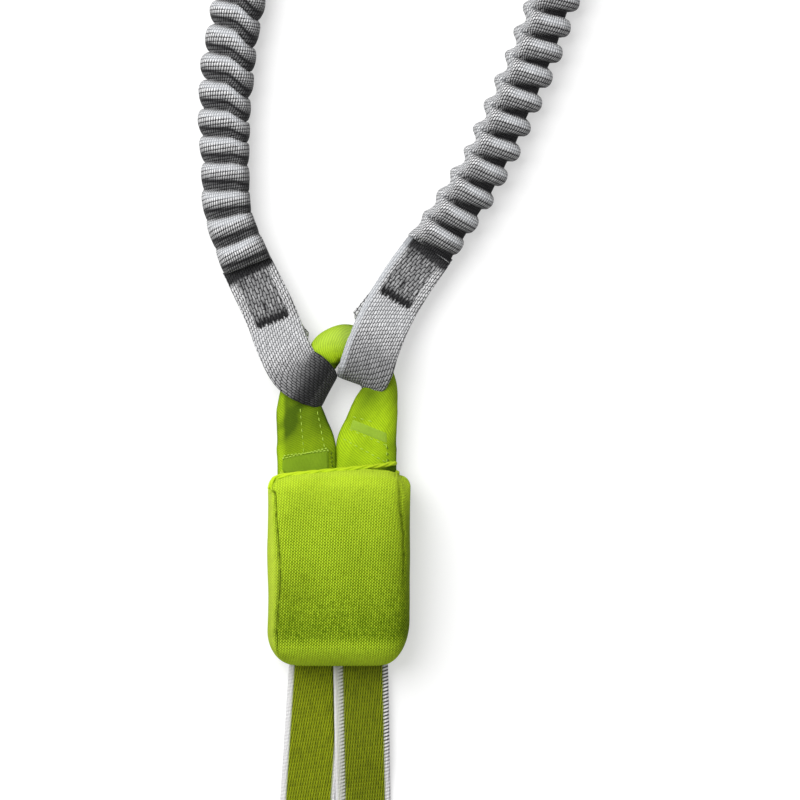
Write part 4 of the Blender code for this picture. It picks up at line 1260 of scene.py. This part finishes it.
def build_pouch_back():
    """The back panel, with softened edges. Each corner has its side, end, width and length."""
    outline = []
    high_y = 0.0340
    high_round = (0.0060, 0.0080)
    back_half_length = 0.038
    within_front = 0.0003
    corner_steps = 10
    corners = [(1, pouch_low_y, *low_right_round), (1, high_y, *high_round), (-1, high_y, *high_round),
               (-1, pouch_low_y, *low_left_round)]
    for corner, (way, edge_y, wide, high) in enumerate(corners):
        centre_x = way * (side_half - within_front - wide)
        centre_y = edge_y + high if edge_y < 0 else edge_y - high
        for step in range(corner_steps + 1):
            turn = radians(90) * (corner - 1 + step / corner_steps)
            outline.append(Vector((centre_x + wide * cos(turn), centre_y + high * sin(turn))))
    rows, uvs = [], []
    for z, inset in ((0.0001, 0.0012), (0.0001, 0.0006), (0.0005, 0.0001), (0.0009, 0.0), (0.0013, 0.0003),
                     (0.0016, 0.0009)):
        ring = [Vector((p.x * (1 - inset / side_half), p.y * (1 - inset / back_half_length), z)) for p in outline]
        rows.append(ring)
        uvs.append([(p.x, p.y + z) for p in ring + ring[:1]])
    return grid_piece("pouch_back_cloth", rows, uvs)


def twisted_cord(name, route, radius, pitch, strands, look, slot, body, *replaced):
    """Strands twisted round each other along a route. Each strand's size is a share of the cord's radius."""
    dense = smooth_route(route, 0.0004)
    ways = directions(dense)
    total = route_length(dense)
    sides = 10
    from_middle, strand_radius = 0.55, 0.62
    points, faces = [], []
    for strand in range(strands):
        first = len(points)
        for index, (centre, along) in enumerate(zip(dense, ways)):
            side_way = along.cross(UP).normalized()
            high = side_way.cross(along)
            turn = 2 * pi * (total * index / (len(dense) - 1) / pitch + strand / strands)
            middle = centre + (side_way * cos(turn) + high * sin(turn)) * radius * from_middle
            for side in range(sides):
                spin = 2 * pi * side / sides
                points.append(tuple(middle + (side_way * cos(spin) + high * sin(spin)) * radius * strand_radius))
        last = len(points) - sides
        for here in range(first, last, sides):
            for side in range(sides):
                ahead = (side + 1) % sides
                faces.append((here + side, here + ahead, here + sides + ahead, here + sides + side))
        faces.append(tuple(range(first, first + sides))[::-1])
        faces.append(tuple(range(last, last + sides)))
    mesh = bpy.data.meshes.new(name)
    mesh.from_pydata(points, [], faces)
    return dress(finished(name, mesh), look, slot, body, *replaced)


# Folded webbing of the absorber

def folded_stack(name, middle_x):
    """One webbing folded to and fro inside the pouch, pressed a little together by the cloth."""
    width, thickness, pitch, layers = 0.0205, 0.0017, 0.00222, 10
    low_y, high_y, low_z = -0.0290, 0.0186, 0.0046
    straight_steps, bend_steps = 30, 10
    reach = pitch / 2 + thickness / 2
    line = []
    for layer in range(layers):
        z = low_z + thickness / 2 + layer * pitch
        ends = (low_y + reach, high_y - reach)
        ahead, (first, last) = (1, ends) if layer % 2 == 0 else (-1, ends[::-1])
        for step in range(straight_steps + 1):
            sag = 0.00008 * sin(step * 1.7 + layer)
            line.append(Vector((middle_x, first + (last - first) * step / straight_steps, z + sag)))
        if layer < layers - 1:
            for step in range(1, bend_steps):
                turn = pi * step / bend_steps
                line.append(Vector((middle_x, last + ahead * sin(turn) * pitch / 2,
                                    z + pitch / 2 * (1 - cos(turn)))))
    columns = shares(16)
    across = [share * width / 2 for share in columns]
    halves = [thickness / 2 * (0.35 + 0.65 * max(0.0, 1 - abs(share) ** 10) ** 0.5) for share in columns]
    rows, uvs = [], []
    for middle, along, travelled in zip(line, directions(line), running_lengths(line)):
        out = along.cross(ACROSS)
        above = [middle + ACROSS * offset + out * half for offset, half in zip(across, halves)]
        below = [middle + ACROSS * offset - out * half for offset, half in zip(across, halves)]
        rows.append(above + below[::-1])
        uvs.append(strap_uvs(across, travelled))
    return grid_piece(name, rows, uvs)


# Tie-in webbing

strap_width = 0.0220
strap_thickness = 0.0021
strap_start_y = 0.0150
strap_flat_y = -0.1000
strap_edge_y = -0.1440
strap_edge_z = strap_width / 2 + 0.0003
bend_radius = 0.0105
strap_low_z = 0.0013
strap_mouth_z = 0.0026
crossing_lift = 0.0024
left_strap_x = [(-0.1440, -0.0105), (-0.1000, -0.0122), (-0.0930, -0.0127), (-0.0390, -0.0092), (0.0150, -0.0090)]
right_strap_x = [(-0.1440, 0.0105), (-0.1000, 0.0100), (-0.0930, 0.0096), (-0.0390, 0.0086), (0.0150, 0.0086)]
upper_left_edge = [(-0.1440, -0.0005), (-0.1000, -0.0010), (-0.0930, -0.0014), (-0.0390, -0.0024)]


def strap_leg(table, sign, over):
    """Middle and across of one strap, from inside the pouch down to where it stands on edge."""
    found = []
    y = strap_start_y
    while y > strap_edge_y:
        turn = radians(90) * smooth_step(strap_flat_y, strap_edge_y, y)
        low = (strap_low_z + (strap_mouth_z - strap_low_z) * smooth_step(-0.0480, -0.0390, y)
               + over * smooth_step(-0.0950, -0.0700, y))
        z = strap_edge_z * sin(turn) + low * cos(turn)
        found.append((Vector((level(table, y), y, z)), Vector((sign * cos(turn), 0, sin(turn)))))
        y -= fine_step
    return found


def tie_in_stations():
    """Along the tie-in loop: middle, across and up, from inside the pouch down the left strap, round the bend
    on edge and back up the right strap, which crosses over the left one a little at the pouch."""
    down, ahead = Vector((0, -1, 0)), Vector((0, 1, 0))
    stations = [(place, across, across.cross(down)) for place, across in strap_leg(left_strap_x, 1, 0.0)]
    bend_steps = 60
    for step in range(1, bend_steps):
        turn = pi * step / bend_steps
        out = Vector((-cos(turn), -sin(turn), 0))
        stations.append((Vector((0, strap_edge_y, strap_edge_z)) + out * bend_radius, UP.copy(), -out))
    back = reversed(strap_leg(right_strap_x, -1, crossing_lift))
    return stations + [(place, across, across.cross(ahead)) for place, across in back]


def strap_shadow_and_selvedge(place, travelled, share):
    """Dark, white and notches at a place of the strap's face: white selvedges, and a painted shadow of the upper
    strap's left edge on the lower one."""
    inner = 0.87 - 0.22 * smooth_step(0.12, 0.20, travelled)
    white = max(smooth_step(inner - 0.02, inner + 0.01, share), smooth_step(-0.80, -0.83, share))
    if travelled < 0.16:
        # Painted shadow cast by the upper strap's left edge
        under = smooth_step(0.0010, 0.0001, level(upper_left_edge, place.y) - place.x)
        return 0.85 * under * smooth_step(-0.104, -0.094, place.y), white, 0.12
    if share > 0:
        return 0.20, white * (1 - 0.30 * smooth_step(0.96, 0.90, share)), 0.85 * smooth_step(0.90, 0.66, share)
    return 0.22, white, 0.35 + 0.62 * smooth_step(-0.088, -0.066, place.y)


def build_tie_in():
    """Olive webbing with white selvedges."""
    stations = tie_in_stations()
    columns = shares(44)
    offsets = [share * strap_width / 2 for share in columns]
    halves = [strap_thickness / 2 * (0.3 + 0.7 * max(0.0, 1 - abs(share) ** 16) ** 0.5)
              + 0.00018 * exp(-((abs(share) - 0.93) / 0.05) ** 2) for share in columns]
    rows, uvs, tint = [], [], []
    for (middle, across, up), travelled in zip(stations, running_lengths([place for place, *ways in stations])):
        wave = 0.00012 * sin(travelled * 260)
        places = [middle + across * offset for offset in offsets]
        upper = [place + up * (half + wave) for place, half in zip(places, halves)]
        lower = [place - up * (half - wave) for place, half in zip(places, halves)]
        rows.append(upper + lower[::-1])
        paint = [strap_shadow_and_selvedge(Vector((middle.x + across.x * offset, middle.y)), travelled, share)
                 for offset, share in zip(offsets, columns)]
        tint.append(paint + paint[::-1])
        uvs.append(strap_uvs(offsets, travelled))
    return grid_piece("tie_in_strap", rows, uvs, tint=tint)


# Carabiner ends

hinge_place = Vector((0.0230, 0.0200, 0))
lever_pin_place = Vector((-0.0240, 0.0260, 0))


def round_ring(centre, across, up, half_width, half_height, sides, power):
    """Points round a section; a power of 1 makes an ellipse and less makes it squarer."""
    ring = (squared(2 * pi * side / sides, power, power) for side in range(sides))
    return [centre + across * (half_width * x) + up * (half_height * y) for x, y in ring]


def smooth_piece(name, rings, joined=False):
    """A piece through closed rings whose look needs no weave."""
    blank = [[(0.0, 0.0)] * (len(rings[0]) + 1)] * (len(rings) + 1)
    return grid_piece(name, rings, blank, joined=joined, sharp=40)


def turned(name, centre, profile):
    """A round piece on an upright axis, from its (height, radius) profile."""
    rings = [round_ring(centre + UP * height, ACROSS, Vector((0, 1, 0)), radius, radius, 32, 1.0)
             for height, radius in profile]
    return smooth_piece(name, rings)


def build_retainer(name, bar):
    """The rubber band round both layers of the upper eye, with three shallow ribs."""
    near = bar.y - 0.0280
    half_width, half_height = 0.0088, 0.00205
    wall, edge_wall, rib, length = 0.0013, 0.0008, 0.0003, 0.0060
    steps, ribs = 30, 3
    section = [(0.0, edge_wall), (0.0002, wall)]
    section += [(0.0005 + 0.0050 * step / steps, wall + rib * sin(pi * ribs * step / steps) ** 2)
                for step in range(steps + 1)]
    section += [(0.0058, wall), (length, edge_wall), (length, 0.0), (0.0, 0.0)]
    rings = [round_ring(Vector((bar.x, near - along, bar.z)), ACROSS, UP, half_width + out, half_height + out,
                        56, 0.30) for along, out in section]
    return smooth_piece(name, rings, joined=True)


def dress_end(side, bar):
    """The sewn upper eye, its retainer, and the carabiner's rivet, pin and looks. Gives the pieces."""
    ahead = Vector((0, -1))
    line = plan_line(bar.to_2d(), ahead, [bar.to_2d() + ahead * 0.030, bar.to_2d() + ahead * 0.060])
    half = 0.0085
    eye = folded_eye(side + "_upper_fold", line, bar.z, upper_size, [(0, half, half)], [(0, 0, 0)], [(0, 0.0)],
                     eye_relief(upper_size["panel"]))
    body = side + "_arm_end"
    carabiner = side + "_carabiner"
    rivet_top = [(0.0053, 0.0012), (0.0056, 0.0012), (0.0056, 0.0021), (0.0059, 0.0021), (0.0061, 0.0017),
                 (0.0062, 0.0009)]
    pin_top = [(0.0072, 0.0012), (0.0073, 0.0009)]
    rivet, pin = (
        turned(side + name, bar + place, [(-height, radius) for height, radius in reversed(top)] + top)
        for name, place, top in (("_rivet", hinge_place, rivet_top), ("_pin", lever_pin_place, pin_top)))
    for part, look in (("carabiner_frame", grey_alloy), ("gate", grey_alloy), ("palm_lever", dark_plastic)):
        nodes[side + "_" + part].material_slots[0].material = look
    return [
        nodes[side + "_carabiner_frame"], nodes[side + "_gate"], nodes[side + "_palm_lever"],
        dress(eye, eye_grey, "grey_webbing", body, side + "_upper_eye"),
        dress(build_retainer(side + "_retainer", bar), black_rubber, "black_rubber", body, side + "_eye_retainer"),
        dress(rivet, steel_look, "steel", carabiner, side + "_gate_rivet"),
        dress(pin, steel_look, "steel", carabiner, side + "_lever_pin")]


# Making it all

loop_sleeve = dress(build_loop_sleeve(), green_twill, "green_twill", "pouch", "link_loop_sleeve")
loop_surface = surface_of(loop_sleeve)

laid_patch("left_leg_tape", loop_surface,
           [(282, 474), (329, 471), (328.5, 449), (283, 457)], 0.00045, patch_green, "green_twill", "pouch")
laid_patch("right_leg_tape", loop_surface,
           [(350, 428.5), (387, 443), (386.5, 433), (353, 419.5)], 0.00022, patch_tape, "green_twill", "pouch",
           rows=8)
light_rows = [((300.7, 410.5), (303.8, 450)), ((318, 413), (325.5, 452)), ((345, 439.5), (384, 461)),
              ((354.5, 417), (370, 421)), ((386.5, 446), (387, 461)), ((351, 430), (385, 444.5))]
stitch_rows("loop_stitches", pixel_rows(loop_surface, light_rows, 0.00012), green_thread, "yellow_cord",
            "pouch", pitch=0.0025, length=0.0015, radius=0.00018)
dark_rows = [((331.5, 453), (332.5, 470)), ((387.5, 448), (388, 460))]
stitch_rows("seam_stitches", pixel_rows(loop_surface, dark_rows, 0.00005), dark_thread, "green_twill", "pouch",
            pitch=0.0017, length=0.0010, radius=0.00030)
turns = 26
half_zigzag = Vector((0, 0.00050))
zigzag = [at_pixel(283.5, 457).lerp(at_pixel(328, 449), step / turns) + half_zigzag * (1 if step % 2 else -1)
          for step in range(turns + 1)]
stitch_rows("tape_zigzag", [laid(loop_surface, zigzag, 0.0007)], green_thread, "yellow_cord", "pouch",
            pitch=0.00123, length=0.0011, radius=0.00027)

pouch_cloth = dress(build_pouch_cloth(), lime_melange, "lime_fabric", "pouch", "pouch_front_panel")
dress(build_pouch_back(), lime_melange, "lime_fabric", "pouch", "pouch_back_panel")
mouth_route = [(-0.0274, 0.0318, 0.0242), (-0.0262, 0.0346, 0.0247), (-0.0240, 0.0366, 0.0250),
               (-0.0148, 0.0379, 0.0252), (0.0012, 0.0394, 0.0248), (0.0100, 0.0403, 0.0218),
               (0.0162, 0.0408, 0.0180), (0.0204, 0.0415, 0.0150), (0.0219, 0.0418, 0.0128),
               (0.0223, 0.0417, 0.0104), (0.0216, 0.0412, 0.0080), (0.0196, 0.0405, 0.0066)]
twisted_cord("pouch_mouth_twist", mouth_route, 0.00084, 0.0170, 3, yellow_thread, "yellow_cord", "pouch",
             "pouch_mouth_cord")
dress(build_tie_in(), olive_weave, "olive_webbing", "pouch", "tie_in_webbing")

for side, middle_x in (("left", -0.0109), ("right", 0.0109)):
    dress(folded_stack("folded_webbing_" + side, middle_x), white_weave, "tear_webbing", "pouch",
          "tear_webbing_" + side)
nodes["link_loop_core"].material_slots[0].material = core_white

for side, sleeve, cord, bar in (("left", left_sleeve, left_cord, Vector((-0.0410, 0.6463, bar_z))),
                                ("right", right_sleeve, right_cord, Vector((0.0750, 0.6563, bar_z)))):
    cord["with_pieces"] = dress_end(side, bar)
